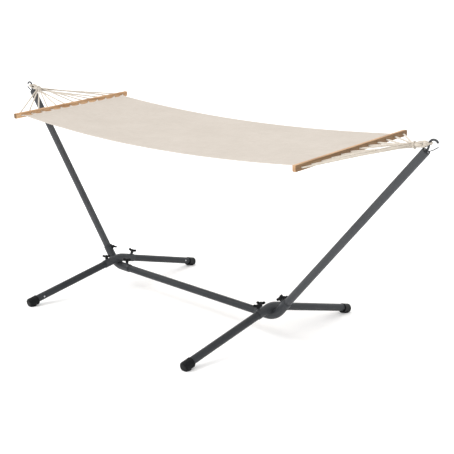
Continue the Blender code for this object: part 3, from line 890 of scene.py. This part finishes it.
def make_foot_screw(name, side, hand, zinc):
    """Cross-head screw through the outer side of the leg, just behind the foot cap."""
    apex, direction, normal = leg_frame(side, hand)
    sideways = np.cross(direction, normal) * (side * -hand)
    outward = sideways * math.cos(SCREW_RAISE) + normal * math.sin(SCREW_RAISE)
    place = apex + direction * (CAP_START - SCREW_FROM_CAP)
    base, tip = TUBE_R + FIT_GAP, TUBE_R - SCREW_REACH
    top = base + SCREW_HEAD_HEIGHT
    head = [(0, top), (0.0016, top - 0.0001), (0.0032, top - 0.0006), (0.0043, top - 0.0014)]
    head += [(SCREW_HEAD_R, base + 0.0004), (SCREW_HEAD_R, base)]
    head += [(SCREW_R, base), (SCREW_R, tip + 0.001), (0, tip)]
    matrix = placed(place, outward, direction)
    screw = solid(lathe(head, 36), f"{name}_foot_screw_plated", matrix)
    lifted = matrix.copy()
    lifted[:3, 3] += outward * (top + 0.0009)
    for size in ((0.0044, 0.0010, 0.004), (0.0010, 0.0044, 0.004)):
        cut(screw, box_shape(size, 0.0001, lifted))
    dressed(screw, zinc, "stand", [f"{name}_foot_screw"])


def knob_mesh():
    """Two-eared moulded knob: a skirted hub with ribs, its ears swept up and out."""
    neck = BOSS_TOP + 0.0012
    body = [(0, KNOB_TOP - 0.0006), (0.0042, KNOB_TOP - 0.0008)]
    body += arc((0.0046, KNOB_TOP - 0.0035), 0.0025, 80, 0, 4)
    body += [(0.0066, WING_Z - 0.004), (0.0078, neck + 0.0065), (0.0098, neck + 0.0022)]
    body += [(0.0102, neck + 0.0012), (0.0098, neck), (0, neck)]
    shape = Shape().add(lathe(body, 40))
    root = 0.002
    for way in (-1, 1):
        path, sections = [], []
        for share in np.linspace(0, 1, 9):
            reach = root + (WING_HALF - root) * share
            lift = WING_Z - 0.0048 + 0.0085 * share**1.4
            path.append((way * reach, 0, lift))
            swell = 0.9 + 0.35 * math.sin(math.pi * share) + 0.15 * share
            tip = math.sqrt(max(0.02, 1 - max(0.0, share - 0.8) ** 2 / 0.045))
            sections.append(circle(20) * np.array((0.0060, 0.0030)) * swell * tip)
        shape.add(sweep(np.array(path), np.array(sections)))
    knob = shape.object("knob_form")
    remesh = knob.modifiers.new("Remesh", "REMESH")
    remesh.mode = "VOXEL"
    remesh.voxel_size = VOXEL
    smooth = knob.modifiers.new("Smooth", "SMOOTH")
    smooth.factor = 0.5
    smooth.iterations = 5
    applied(knob)
    mesh = knob.data.copy()
    bpy.data.objects.remove(knob, do_unlink=True)
    return mesh


def stud_shape():
    """Threaded stud under the knob, as a ridged pin."""
    top, foot, pitch = BOSS_TOP + 0.0030, TUBE_R + FIT_GAP, 0.00125
    root = STUD_R * 0.86
    profile = [(0, top), (root, top)]
    count = int((top - foot) / pitch)
    for turn in range(count):
        high = top - turn * pitch
        profile += [(root, high - pitch * 0.15), (STUD_R, high - pitch * 0.5)]
        profile += [(root, high - pitch * 0.85)]
    profile += [(STUD_R * 0.8, foot), (0, foot)]
    return lathe(profile, 24)


def make_knobs(plastic, zinc):
    """The eight hand knobs on their studs, all but one turned the same way."""
    form = knob_mesh()
    for name, side in SIDES.items():
        for label, (place, outward, _) in knob_frames(side).items():
            node = f"{name}_{label}_knob"
            wing_way = RIGHT_UPRIGHT_WING_WAY if node == "right_upright_knob" else WING_WAY
            matrix = placed(place, outward, wing_way)
            mesh = form.copy()
            mesh.transform(Matrix(matrix.tolist()))
            knob = linked(f"{node}_moulded", mesh)
            dressed(knob, plastic, node, [node], sharp=60)
            stud = solid(stud_shape(), f"{node}_stud", matrix)
            dressed(stud, zinc, node, sharp=20)


# Hook, keeper and ring


def hook_points(side):
    """Up the tube's axis, over to upright, then round the hook's arc to its tip."""
    arm = arm_direction(side)
    base = upright_top(side) + arm * (PLATE_THICKNESS / 2)
    leave = upright_top(side) + arm * HOOK_RISE
    tangent_x = side * (HOOK_CENTRE_X - HOOK_R)
    meet = leave + arm * ((tangent_x - leave[0]) / arm[0])
    end = np.array((tangent_x, 0, HOOK_CENTRE_Z))
    points = [base]
    for t in np.linspace(0, 1, 16, endpoint=False):
        points.append(leave * (1 - t) ** 2 + meet * 2 * t * (1 - t) + end * t**2)
    for angle in np.linspace(math.pi, HOOK_TIP_ANGLE, 33):
        x = HOOK_CENTRE_X + HOOK_R * math.cos(angle)
        points.append((side * x, 0, HOOK_CENTRE_Z + HOOK_R * math.sin(angle)))
    return resampled(np.array(points), 0.0015)


def keeper_pivot(side):
    plate_face = upright_top(side) + arm_direction(side) * PLATE_THICKNESS
    return plate_face - inner_normal(side) * KEEPER_ACROSS + arm_direction(side) * KEEPER_HEIGHT


def make_hook(name, side, steel):
    """End plate on the upright with its weld, the round hook and two lugs for the pin."""
    matrix = placed(upright_top(side), arm_direction(side), inner_normal(side))
    plate_r, spigot_r = TUBE_R - 0.0002, TUBE_R - TUBE_WALL - FIT_GAP
    profile = [(0, PLATE_THICKNESS), (plate_r - 0.0008, PLATE_THICKNESS)]
    profile += arc((plate_r - 0.0008, PLATE_THICKNESS - 0.0008), 0.0008, 90, 0, 4)
    profile += [(plate_r, FIT_GAP), (spigot_r, FIT_GAP), (spigot_r, -SPIGOT), (0, -SPIGOT)]
    hook = solid(lathe(profile, 64), f"{name}_hook_forged", matrix)
    join(hook, bar_along(hook_points(side), HOOK_BAR_R, 28, dome=True))
    lugs = Shape()
    way, lift = rising(side, UPRIGHT_ANGLE)
    for y in (-LUG_Y, LUG_Y):
        place = keeper_pivot(side) + np.array((0, y, 0)) - way * 0.002
        lugs.add(box_shape(LUG_SIZE, 0.0006, placed(place, way, lift)))
    boolean(hook, lugs.object("lugs"), "UNION")
    hole_r, reach = PIN_R + FIT_GAP, 0.008
    hole = [(0, reach), (hole_r, reach), (hole_r, -reach), (0, -reach)]
    cut(hook, lathe(hole, 24), placed(keeper_pivot(side), (0, 1, 0), (0, 0, 1)))
    dressed(hook, steel, "stand", [f"{name}_hook"])
    angles, ring = ring_points(HOOK_BAR_R + 0.0006, 80)
    ring[:, 2] = PLATE_THICKNESS + 0.0004
    weld = solid(bead(ring, 0.0017, angles * 7), f"{name}_hook_weld", matrix)
    dressed(weld, steel, "stand")


def make_keeper(name, side, wire, steel):
    """Hairpin of spring wire, coiled round a riveted pin in front of the hook's mouth."""
    pivot = keeper_pivot(side)
    way, lift = rising(side, KEEPER_ANGLE)
    coil_r = PIN_R + FIT_GAP + KEEPER_WIRE_R
    half = []

    def to(ahead, up, y):
        half.append(pivot + way * ahead + lift * up + (0, y, 0))

    turns, steps = 1.25, 26
    for step in range(steps + 1):
        angle = -TAU * turns * (1 - step / steps) + math.pi / 2
        to(coil_r * math.cos(angle), coil_r * math.sin(angle), 0.0006 + 0.0015 * step / steps)
    reach = KEEPER_LENGTH - 0.002
    to(0.006, coil_r * 0.8, 0.0027)
    to(reach * 0.5, 0, 0.0023)
    to(reach - 0.001, 0, 0.0018)
    for angle in np.radians(np.linspace(70, 0, 5)):
        to(reach + 0.0016 * math.cos(angle), 0, 0.0018 * math.sin(angle))
    half = np.array(half)
    other = half[::-1][1:] * (1, -1, 1)
    path = resampled(rounded(np.vstack([half, other]), 0.003), 0.0006)
    body = f"{name}_keeper"
    keeper = solid(bar_along(path, KEEPER_WIRE_R, 12, dome=True), f"{name}_keeper_wire")
    dressed(keeper, wire, body, [body])
    head, rise, reach = 0.0028, 0.0012, 0.0066
    dome = [(head * math.sin(a), reach + rise * math.cos(a)) for a in np.radians((30, 55, 75))]
    rivet = [(0, reach + rise), *dome, (head, reach), (PIN_R, reach)]
    rivet += [(radius, -height) for radius, height in reversed(rivet)]
    pin = solid(lathe(rivet, 28), f"{name}_keeper_rivet", placed(pivot, (0, 1, 0), (0, 0, 1)))
    dressed(pin, steel, "stand", [f"{name}_keeper_pin"])


def clew_frame(side):
    """The ring's centre, the middle of the cords' turns on it, their pull and upper normal."""
    drop = math.atan2(SWING_Z - BAR_Z, HOOK_CENTRE_X - HOOK_R - abs(BAR_X[side]))
    push, normal = rising(side, drop)
    pull = -push
    seat_r = HOOK_R - HOOK_BAR_R - RING_WIRE_R - SEAT_GAP
    rim_x = HOOK_CENTRE_X - math.sqrt(seat_r**2 - (SWING_Z - HOOK_CENTRE_Z) ** 2)
    ring = np.array((side * rim_x, 0, SWING_Z)) + pull * RING_R
    return ring, ring + pull * RING_R, pull, normal


def make_ring(name, side, steel, cotton):
    """Welded ring, served with thin cord from the cords' turns to the hook, thin where it seats."""
    centre, _, pull, normal = clew_frame(side)
    matrix = placed(centre, normal, pull)
    angles, path = ring_points(RING_R, 96)
    weld = 1 + 0.10 * np.exp(-(((angles - math.pi / 2) / 0.10) ** 2))
    made = sweep(path, scaled(circle(20), RING_WIRE_R * weld), closed=True)
    ring = solid(made, f"{name}_ring_plated", matrix)
    dressed(ring, steel, "hammock", [f"{name}_ring"])
    serving = Shape()
    steps = 14
    for hand in (-1, 1):
        coil = []
        for step in range(SERVING_TURNS * steps + 1):
            share, angle = step / (SERVING_TURNS * steps), TAU * step / steps
            degrees = SERVED_FROM + (180 - SERVED_FROM) * share
            swell = min(max((THIN_FROM - degrees) / (THIN_FROM - THINNING_FROM), 0.0), 1.0)
            swell *= swell * (3 - 2 * swell)
            across, high = (RING_WIRE_R + (SERVING_R + more) * swell for more in SERVING_SWELL)
            reach = RING_R + SEAT_SHIFT * (1 - swell) + across * math.cos(angle)
            round_ring = hand * math.radians(degrees)
            lift = high * math.sin(angle)
            coil.append((reach * math.cos(round_ring), reach * math.sin(round_ring), lift))
        serving.add(bar_along(moved(matrix, coil), SERVING_R, 7, dome=True))
    dressed(serving.object(f"{name}_ring_serving"), cotton, "hammock", sharp=70)


# Hammock


def hole_point(side, index, beyond):
    """A point on a bar hole's axis, beyond metres from the bar's middle towards the hook."""
    along = (index - (HOLES - 1) / 2) * HOLE_PITCH
    y, z = along * math.cos(BAR_TILT), BAR_Z + along * math.sin(BAR_TILT)
    return np.array((BAR_X[side] + side * beyond, y, z))


def bed_end_x(side):
    return BAR_X[side] - side * HEM_GAP


def bed_half_width(x):
    share = (x / bed_end_x(1 if x > 0 else -1)) ** 2
    return BED_HALF_WIDTH_MIDDLE + (BED_HALF_WIDTH_END - BED_HALF_WIDTH_MIDDLE) * share


CORD_INSET = (BED_HALF_WIDTH_END - CORD_FROM_SIDE) / BED_HALF_WIDTH_END


def cord_place(share):
    """Counts the cords across the cloth: 0 at the first, one more at each following one."""
    return (share / CORD_INSET + 1) / 2 * (HOLES - 1)


def scallop(share):
    """0 where a cord holds the cloth's end, and 1 half-way between two cords."""
    place = min(max(cord_place(share), 0.0), HOLES - 1.0)
    within = place - math.floor(place)
    return (4 * within * (1 - within)) ** 0.8


def cloth_end_x(side, share):
    return BAR_X[side] - side * (PEAK_GAP + SCALLOP * scallop(share))


def bed_height(x, share):
    """The cloth's height over its tilted cross line, with the pull of the cords at its ends."""
    side = 1 if x > 0 else -1
    end = abs(BAR_X[side]) - PEAK_GAP
    dish = BED_DISH * (1 - share**2) * max(0.0, 1 - (x / end) ** 4)
    inward = max(0.0, end - abs(x))
    folds = -0.0030 * scallop(share) * math.exp(-inward / 0.085)
    drift = noise.noise(Vector((x * 1.1, share * 3.2, 0.7))) * 0.0016
    creases = noise.noise(Vector((x * 2.2, share * 11.0, 3.1))) * 0.0007
    settle = min(1.0, inward / 0.08)
    return BED_LOW_Z + BED_RISE * x**2 - dish + folds + (drift + creases) * settle


def bed_point(x, share):
    half = bed_half_width(x)
    y = share * half * math.cos(BAR_TILT)
    return np.array((x, y, bed_height(x, share) + share * half * math.sin(BAR_TILT)))


def hem_point(side, index):
    """Where a cord's end lies inside the cloth's hem."""
    share = (index - (HOLES - 1) / 2) / ((HOLES - 1) / 2)
    return bed_point(BAR_X[side] - side * (PEAK_GAP + CORD_IN_HEM), share * CORD_INSET)


def strand_points(side, index, column, level, turn_level, turn_shift):
    """From the ring along the bundle, out of the tie, through the bar and on to the hem."""
    _, start, pull, normal = clew_frame(side)
    root = start + np.array((0, column, 0))
    points = [
        root + normal * turn_level + pull * turn_shift,
        root + normal * turn_level + pull * (turn_shift + 0.008),
        root + normal * level + pull * TIE_START,
        root + normal * level + pull * (TIE_START + TIE_WIDTH + 0.001),
    ]
    points += [hole_point(side, index, beyond) for beyond in (0.0175, 0.0145, -0.0145)]
    return points + [hem_point(side, index)]


def cord_pairs():
    """Each cord's two bar holes, its place in the bundle, and its turn on the ring."""
    near, far = CORD_PITCH / 2, CORD_PITCH * 1.5
    edge_reach = far + 0.0013
    edge_shift = -(RING_R - math.sqrt(RING_R**2 - edge_reach**2))
    return [
        (0, 1, -far, near, EDGE_TURN_R, edge_shift),
        (2, 5, -near, far, OUTER_TURN_R, 0.0),
        (3, 4, -near, near, INNER_TURN_R, 0.0),
        (7, 8, near, near, INNER_TURN_R, 0.0),
        (6, 9, near, far, OUTER_TURN_R, 0.0),
        (10, 11, far, near, EDGE_TURN_R, edge_shift),
    ]


def loft(side, points):
    """How much fuller a cord lies, from 0 in the tie and at its bar hole to 1 between them."""
    _, start, _, _ = clew_frame(side)
    from_tie = np.linalg.norm(points - start, axis=1) - TIE_START - TIE_WIDTH
    from_bar = points[:, 0] * side - abs(BAR_X[side]) - BAR_THICKNESS / 2
    share = np.clip(np.minimum(from_tie / 0.06, from_bar / 0.03), 0, 1)
    return share * share * (3 - 2 * share)


def twisted(points, radius, twist, lobes=3, start=0.0, fuller=None):
    """A laid cord: a lobed section that turns as it goes, closed by small domes."""
    points = resampled(rounded(points, 0.012), twist / 8)
    along = lengths_along(points)
    angles = np.arange(lobes * 6) * TAU / (lobes * 6)
    hollow = 1 - np.abs(np.cos(lobes * angles / 2))
    reach = radius * (1 - 0.20 * hollow)
    ease = np.clip(np.minimum(along, along[-1] - along) / (radius * 1.5), 0.02, 1)
    ease = np.sqrt(1 - (1 - ease) ** 2)
    if fuller:
        ease = ease * (1 + CORD_LOFT * fuller(points))
    turned = angles[None] + (TAU * along / twist + start)[:, None]
    sections = np.stack([np.cos(turned), np.sin(turned)], axis=2)
    return sweep(points, sections * (reach[None] * ease[:, None])[..., None])


def make_cords(name, side, cotton):
    """Six cords, each doubled over the ring with both its ends in the hem."""
    _, start, pull, normal = clew_frame(side)
    for number, (first, second, column, level, turn, shift) in enumerate(cord_pairs(), 1):
        upper = strand_points(side, first, column, level, turn, shift)
        lower = strand_points(side, second, column, -level, -turn, shift)
        centre = start + np.array((0, column, 0)) + pull * shift
        bend = []
        for angle in np.linspace(0, math.pi, 13)[1:-1]:
            high, back = turn * math.cos(angle), turn * math.sin(angle)
            bend.append(centre + normal * high - pull * back)
        points = upper[::-1] + bend + lower
        strand = twisted(points, CORD_R, CORD_TWIST, start=number * 0.7, fuller=partial(loft, side))
        cord = solid(strand, f"{name}_laid_cord_{number}")
        dressed(cord, cotton, "hammock", [f"{name}_cord_{number}"], sharp=70)


def make_tie(name, side, cotton):
    """Whipping of thin cord round the bundle, its knot, and two frayed tails."""
    _, start, pull, normal = clew_frame(side)
    matrix = placed(start + pull * TIE_START, pull, normal)
    turns, steps = 5, 40
    radius = TIE_INNER_R + TIE_CORD_R
    pitch = (TIE_WIDTH - 2 * TIE_CORD_R) / turns
    coil = []
    for step in range(turns * steps + 1):
        angle = TAU * step / steps + math.pi
        height = TIE_CORD_R + pitch * step / steps
        coil.append((radius * math.cos(angle), radius * math.sin(angle), height))
    shape = Shape()
    shape.add(twisted(moved(matrix, coil), TIE_CORD_R, 0.006))
    knot = []
    for angle in np.linspace(0, TAU, 60):
        ring_reach = 0.0021 + 0.0009 * math.cos(3 * angle)
        x = -(radius + 0.0016) + 0.0011 * math.sin(3 * angle)
        y = ring_reach * math.cos(2 * angle)
        z = TIE_WIDTH / 2 + ring_reach * math.sin(2 * angle)
        knot.append((x, y, z))
    shape.add(sweep(moved(matrix, knot[:-1]), circle(8) * TIE_CORD_R, closed=True))
    for number, (spread, sideways) in enumerate(((-0.30, -0.12), (0.28, 0.16))):
        tail = []
        for share in np.linspace(0, 1, 10):
            drop = radius + 0.001 + (TIE_TAIL - 0.003) * share
            bow = 0.0035 * math.sin(math.pi * share)
            z = TIE_WIDTH / 2 + spread * (drop - radius) + bow * (1 if number else -1)
            tail.append((-drop, sideways * (drop - radius), z))
        tail = moved(matrix, tail)
        shape.add(twisted(tail, TIE_CORD_R, 0.006, start=number))
        tip, way = tail[-1], unit(tail[-1] - tail[-2])
        for strand in range(7):
            angle = TAU * strand / 7
            spray = np.array((math.cos(angle), math.sin(angle), 0.0)) * 0.45
            fray = [tip - way * 0.001, tip + (way + spray * 0.5) * 0.002]
            fray.append(tip + (way + spray) * 0.0042)
            shape.add(sweep(np.array(fray), circle(5) * 0.00028))
    tie = shape.object(f"{name}_tie_whipping")
    dressed(tie, cotton, "hammock", [f"{name}_tie"], sharp=70)


def make_bundle_core(name, side, cotton):
    """The soft core of the bundle, inside the cords from the ring to just past the tie."""
    _, start, pull, _ = clew_frame(side)
    matrix = placed(start, pull)
    matrix[:3, 1] *= CORE_FLATNESS
    core = solid(lathe(CORE_PROFILE[::-1], 40), f"{name}_bundle_core", matrix)
    dressed(core, cotton, "hammock")


def make_bar(name, side, wood, painted_shade_wood):
    """Rounded beech bar with twelve eased holes, and painted shade on the faces that turn one way,
    given as a darker copy of the beech.
    """
    matrix = np.eye(4)
    matrix[:3, :3] = np.array(Matrix.Rotation(BAR_TILT, 3, "X"))
    matrix[:3, 3] = (BAR_X[side], 0, BAR_Z)
    size = (BAR_THICKNESS, BAR_LENGTH, BAR_HEIGHT)
    bar = solid(box_shape(size, BAR_EDGE_R, matrix), f"{name}_beech_bar")
    half, rim, clear = BAR_THICKNESS / 2, 0.0009, 0.004
    flare = [(HOLE_R + rim + clear, half + clear), (HOLE_R + rim, half)]
    flare += arc((HOLE_R + rim, half - rim), rim, 120, 180, 4)[1:]
    flare = [(0, half + clear)] + flare
    profile = flare + [(radius, -height) for radius, height in reversed(flare)]
    holes = Shape()
    for index in range(HOLES):
        holes.add(lathe(profile, 28), placed(hole_point(side, index, 0), (1, 0, 0)))
    boolean(bar, holes.object("holes"), "DIFFERENCE")
    dressed(bar, wood, "hammock", [f"{name}_spreader_bar"], sharp=50)
    bar.data.materials.append(painted_shade_wood)
    # Faces turned the shaded way take the darker beech: painted shade
    for face in bar.data.polygons:
        face.material_index = int(face.normal @ Vector(PAINTED_SHADE_WAY[side]) > PAINTED_SHADE_COSINE)
    return bar


def stitch_row(shape, points, normals):
    """Short raised stitches along a row of surface points."""
    pitch, length, radius = STITCH
    along = lengths_along(points)
    for number in range(int(along[-1] / pitch)):
        middle = (number + 0.5) * pitch
        ends = []
        for at in (middle - length / 2, middle, middle + length / 2):
            point, normal = (
                np.array([np.interp(at, along, row[:, axis]) for axis in range(3)])
                for row in (points, normals)
            )
            ends.append(point + normal * (radius * (0.7 if at == middle else -0.6)))
        shape.add(sweep(np.array(ends), scaled(circle(5), radius * np.array((0.4, 1, 0.4)))))


def side_hem_row(hand, row):
    """The points across a side hem from the cloth's edge inward, with the thickness at each."""
    low, high = cloth_end_x(-1, hand), cloth_end_x(1, hand)
    x = low + (high - low) * row / BED_ROWS
    points, thickness = [], []
    for step in range(SIDE_HEM_STEPS + 1):
        inward = SIDE_HEM * step / SIDE_HEM_STEPS
        points.append(bed_point(x, hand * (1 - inward / bed_half_width(x))))
        edge = min(step, SIDE_HEM_STEPS - step) / SIDE_HEM_STEPS
        thickness.append(SIDE_HEM_THICKNESS * min(1.0, 0.45 + edge * 3.5))
    return points, thickness


def end_hem_row(side, row):
    """The same for an end hem, which is thicker round each cord's end."""
    share = (2 * row / END_HEM_ROWS - 1) * 0.998
    start = cloth_end_x(side, share)
    near_cord = math.exp(-((((cord_place(share) + 0.5) % 1.0) - 0.5) / 0.055) ** 2)
    lump, lump_reach = CORD_LUMP
    points, thickness = [], []
    for step in range(END_HEM_STEPS + 1):
        inward = END_HEM * step / END_HEM_STEPS
        points.append(bed_point(start - side * inward, share))
        edge = min(step, END_HEM_STEPS - step) / END_HEM_STEPS
        swell = lump * near_cord * max(0.0, 1 - inward / lump_reach)
        thickness.append((END_HEM_THICKNESS + swell) * min(1.0, 0.5 + edge * 5))
    return points, thickness


def make_hem(name, rows, row_at, seams, stitches, cloth):
    """A hem made row by row, with stitches on both its faces along each seam."""
    made = [row_at(row) for row in range(rows + 1)]
    band = np.array([points for points, _ in made])
    thick = np.array([thickness for _, thickness in made])
    normals = np.cross(np.gradient(band, axis=0), np.gradient(band, axis=1))
    normals = normals / np.linalg.norm(normals, axis=2)[..., None]
    normals *= np.sign(normals[..., 2:])
    for step in seams:
        for face in (1, -1):
            surface = band[:, step] + normals[:, step] * face * thick[:, step, None] / 2
            stitch_row(stitches, surface, normals[:, step] * face)
    return dressed(solid(shell(band, thick), name), cloth, "hammock", sharp=70)


def make_bed(cloth, hem_cloth, thread):
    """Canvas sheet with scalloped ends, turned hems all round and raised stitching."""
    rows, columns = BED_ROWS, BED_COLUMNS
    grid = np.zeros((rows + 1, columns + 1, 3))
    for column in range(columns + 1):
        share = 2 * column / columns - 1
        low, high = cloth_end_x(-1, share), cloth_end_x(1, share)
        for row in range(rows + 1):
            t = row / rows
            t = t + 0.06 * math.sin(TAU * t) / TAU * -1
            grid[row, column] = bed_point(low + (high - low) * t, share * 0.997)
    bed = dressed(solid(shell(grid, CLOTH), "bed_canvas"), cloth, "hammock", ["bed"])
    stitches = Shape()
    for name, hand in HANDS.items():
        row_at = partial(side_hem_row, hand)
        make_hem(f"bed_{name}_hem", rows, row_at, (1, 7), stitches, hem_cloth)
    for name, side in SIDES.items():
        row_at = partial(end_hem_row, side)
        make_hem(f"bed_{name}_hem", END_HEM_ROWS, row_at, (9, 11), stitches, hem_cloth)
    seams = dressed(stitches.object("bed_stitching"), thread, "hammock", sharp=70)


# Stage


def make_camera():
    """The photograph's camera: its view, its distance, and its focal length in pixels."""
    azimuth, elevation, roll = (math.radians(angle) for angle in (43.97, 14.13, 1.28))
    distance, target, focal, middle = 6.377, np.array((-0.557, 0.855, 0.238)), 948.15, -2.72
    width, sensor = 454, 36.0
    level = math.cos(elevation)
    back = np.array((math.sin(azimuth) * level, -math.cos(azimuth) * level, math.sin(elevation)))
    right = unit(np.cross(-back, (0, 0, 1)))
    up = np.cross(right, -back)
    matrix = np.eye(4)
    matrix[:3, 0] = math.cos(roll) * right + math.sin(roll) * up
    matrix[:3, 1] = -math.sin(roll) * right + math.cos(roll) * up
    matrix[:3, 2] = back
    matrix[:3, 3] = target + back * distance
    camera = linked("camera", bpy.data.cameras.new("camera"))
    camera.data.sensor_width = sensor
    camera.data.lens = focal / width * sensor
    camera.data.shift_x = -middle / width
    camera.data.clip_end = 200
    camera.matrix_world = Matrix(matrix.tolist())
    bpy.context.scene.camera = camera


def studio_sky():
    """A soft and nearly even sky, slightly brighter overhead and to the left."""
    world = bpy.data.worlds.new("studio")
    world.use_nodes = True
    nodes, links = world.node_tree.nodes, world.node_tree.links
    direction = nodes.new("ShaderNodeTexCoord")
    slope = nodes.new("ShaderNodeVectorMath")
    slope.operation = "DOT_PRODUCT"
    slope.inputs[1].default_value = SKY_SLOPE
    level = nodes.new("ShaderNodeMath")
    level.operation = "ADD"
    level.inputs[1].default_value = SKY_LEVEL
    links.new(direction.outputs["Generated"], slope.inputs[0])
    links.new(slope.outputs["Value"], level.inputs[0])
    background = nodes["Background"]
    background.inputs["Color"].default_value = (1.0, 1.0, 1.0, 1.0)
    links.new(level.outputs["Value"], background.inputs["Strength"])
    bpy.context.scene.world = world


def make_stage():
    """A pale floor, the sky and one broad sun from the front left."""
    floor = solid(lathe([(FLOOR_R, FLOOR_Z), (0, FLOOR_Z)], 96), "studio_floor")
    floor.data.materials.append(floor_material("pale_floor"))
    studio_sky()
    lamp = bpy.data.lights.new("key", "SUN")
    lamp.energy = SUN_STRENGTH
    lamp.angle = SUN_SOFTNESS
    light = linked("key", lamp)
    light.rotation_euler = (-Vector(SUN_FROM)).to_track_quat("-Z", "Y").to_euler()
    bpy.context.scene.view_settings.view_transform = "Standard"


def main():
    for obj in list(bpy.data.objects):
        if obj.name in ("Cube", "Light", "Camera"):
            bpy.data.objects.remove(obj, do_unlink=True)
    make_camera()
    make_stage()
    # One powder coat in three copies: painted light on the uprights, painted shade on the legs and
    # floor tube, the hubs in between
    upper, steel, lower = (powder_coat(name, *tones, 0.42, 0.25) for name, tones in PAINTED_LIGHT_COATS.items())
    hook_steel = powder_coat("hook_black", (0.030, 0.032, 0.036), (0.040, 0.043, 0.047), 0.26, 0.42)
    black = moulded_plastic("moulded_black", (0.0045, 0.0050, 0.0056), 0.46)
    zinc = plated_steel("zinc_plate", (0.62, 0.62, 0.64), 0.30)
    dull = plated_steel("dull_steel", (0.15, 0.15, 0.16), 0.38)
    cord = cotton_cord("cotton_cord")
    cloth = canvas("cream_canvas", *CANVAS_TONES)
    hem_cloth = canvas("hem_canvas", *HEM_TONES)
    wood = beech("beech")
    # A darker copy of the beech, for the bars' painted shade
    painted_shade_wood = beech("beech_painted_shade", BEECH_PAINTED_SHADE)
    make_tubes(upper, lower)
    make_knobs(black, zinc)
    for name, side in SIDES.items():
        make_hub(name, side, steel)
        for hand_name, hand in HANDS.items():
            make_foot_cap(f"{name}_{hand_name}", side, hand, black)
            make_foot_screw(f"{name}_{hand_name}", side, hand, zinc)
        make_hook(name, side, hook_steel)
        make_keeper(name, side, hook_steel, zinc)
        make_ring(name, side, dull, cord)
        make_cords(name, side, cord)
        make_tie(name, side, cord)
        make_bundle_core(name, side, cord)
        make_bar(name, side, wood, painted_shade_wood)
    make_bed(cloth, hem_cloth, cord)


main()
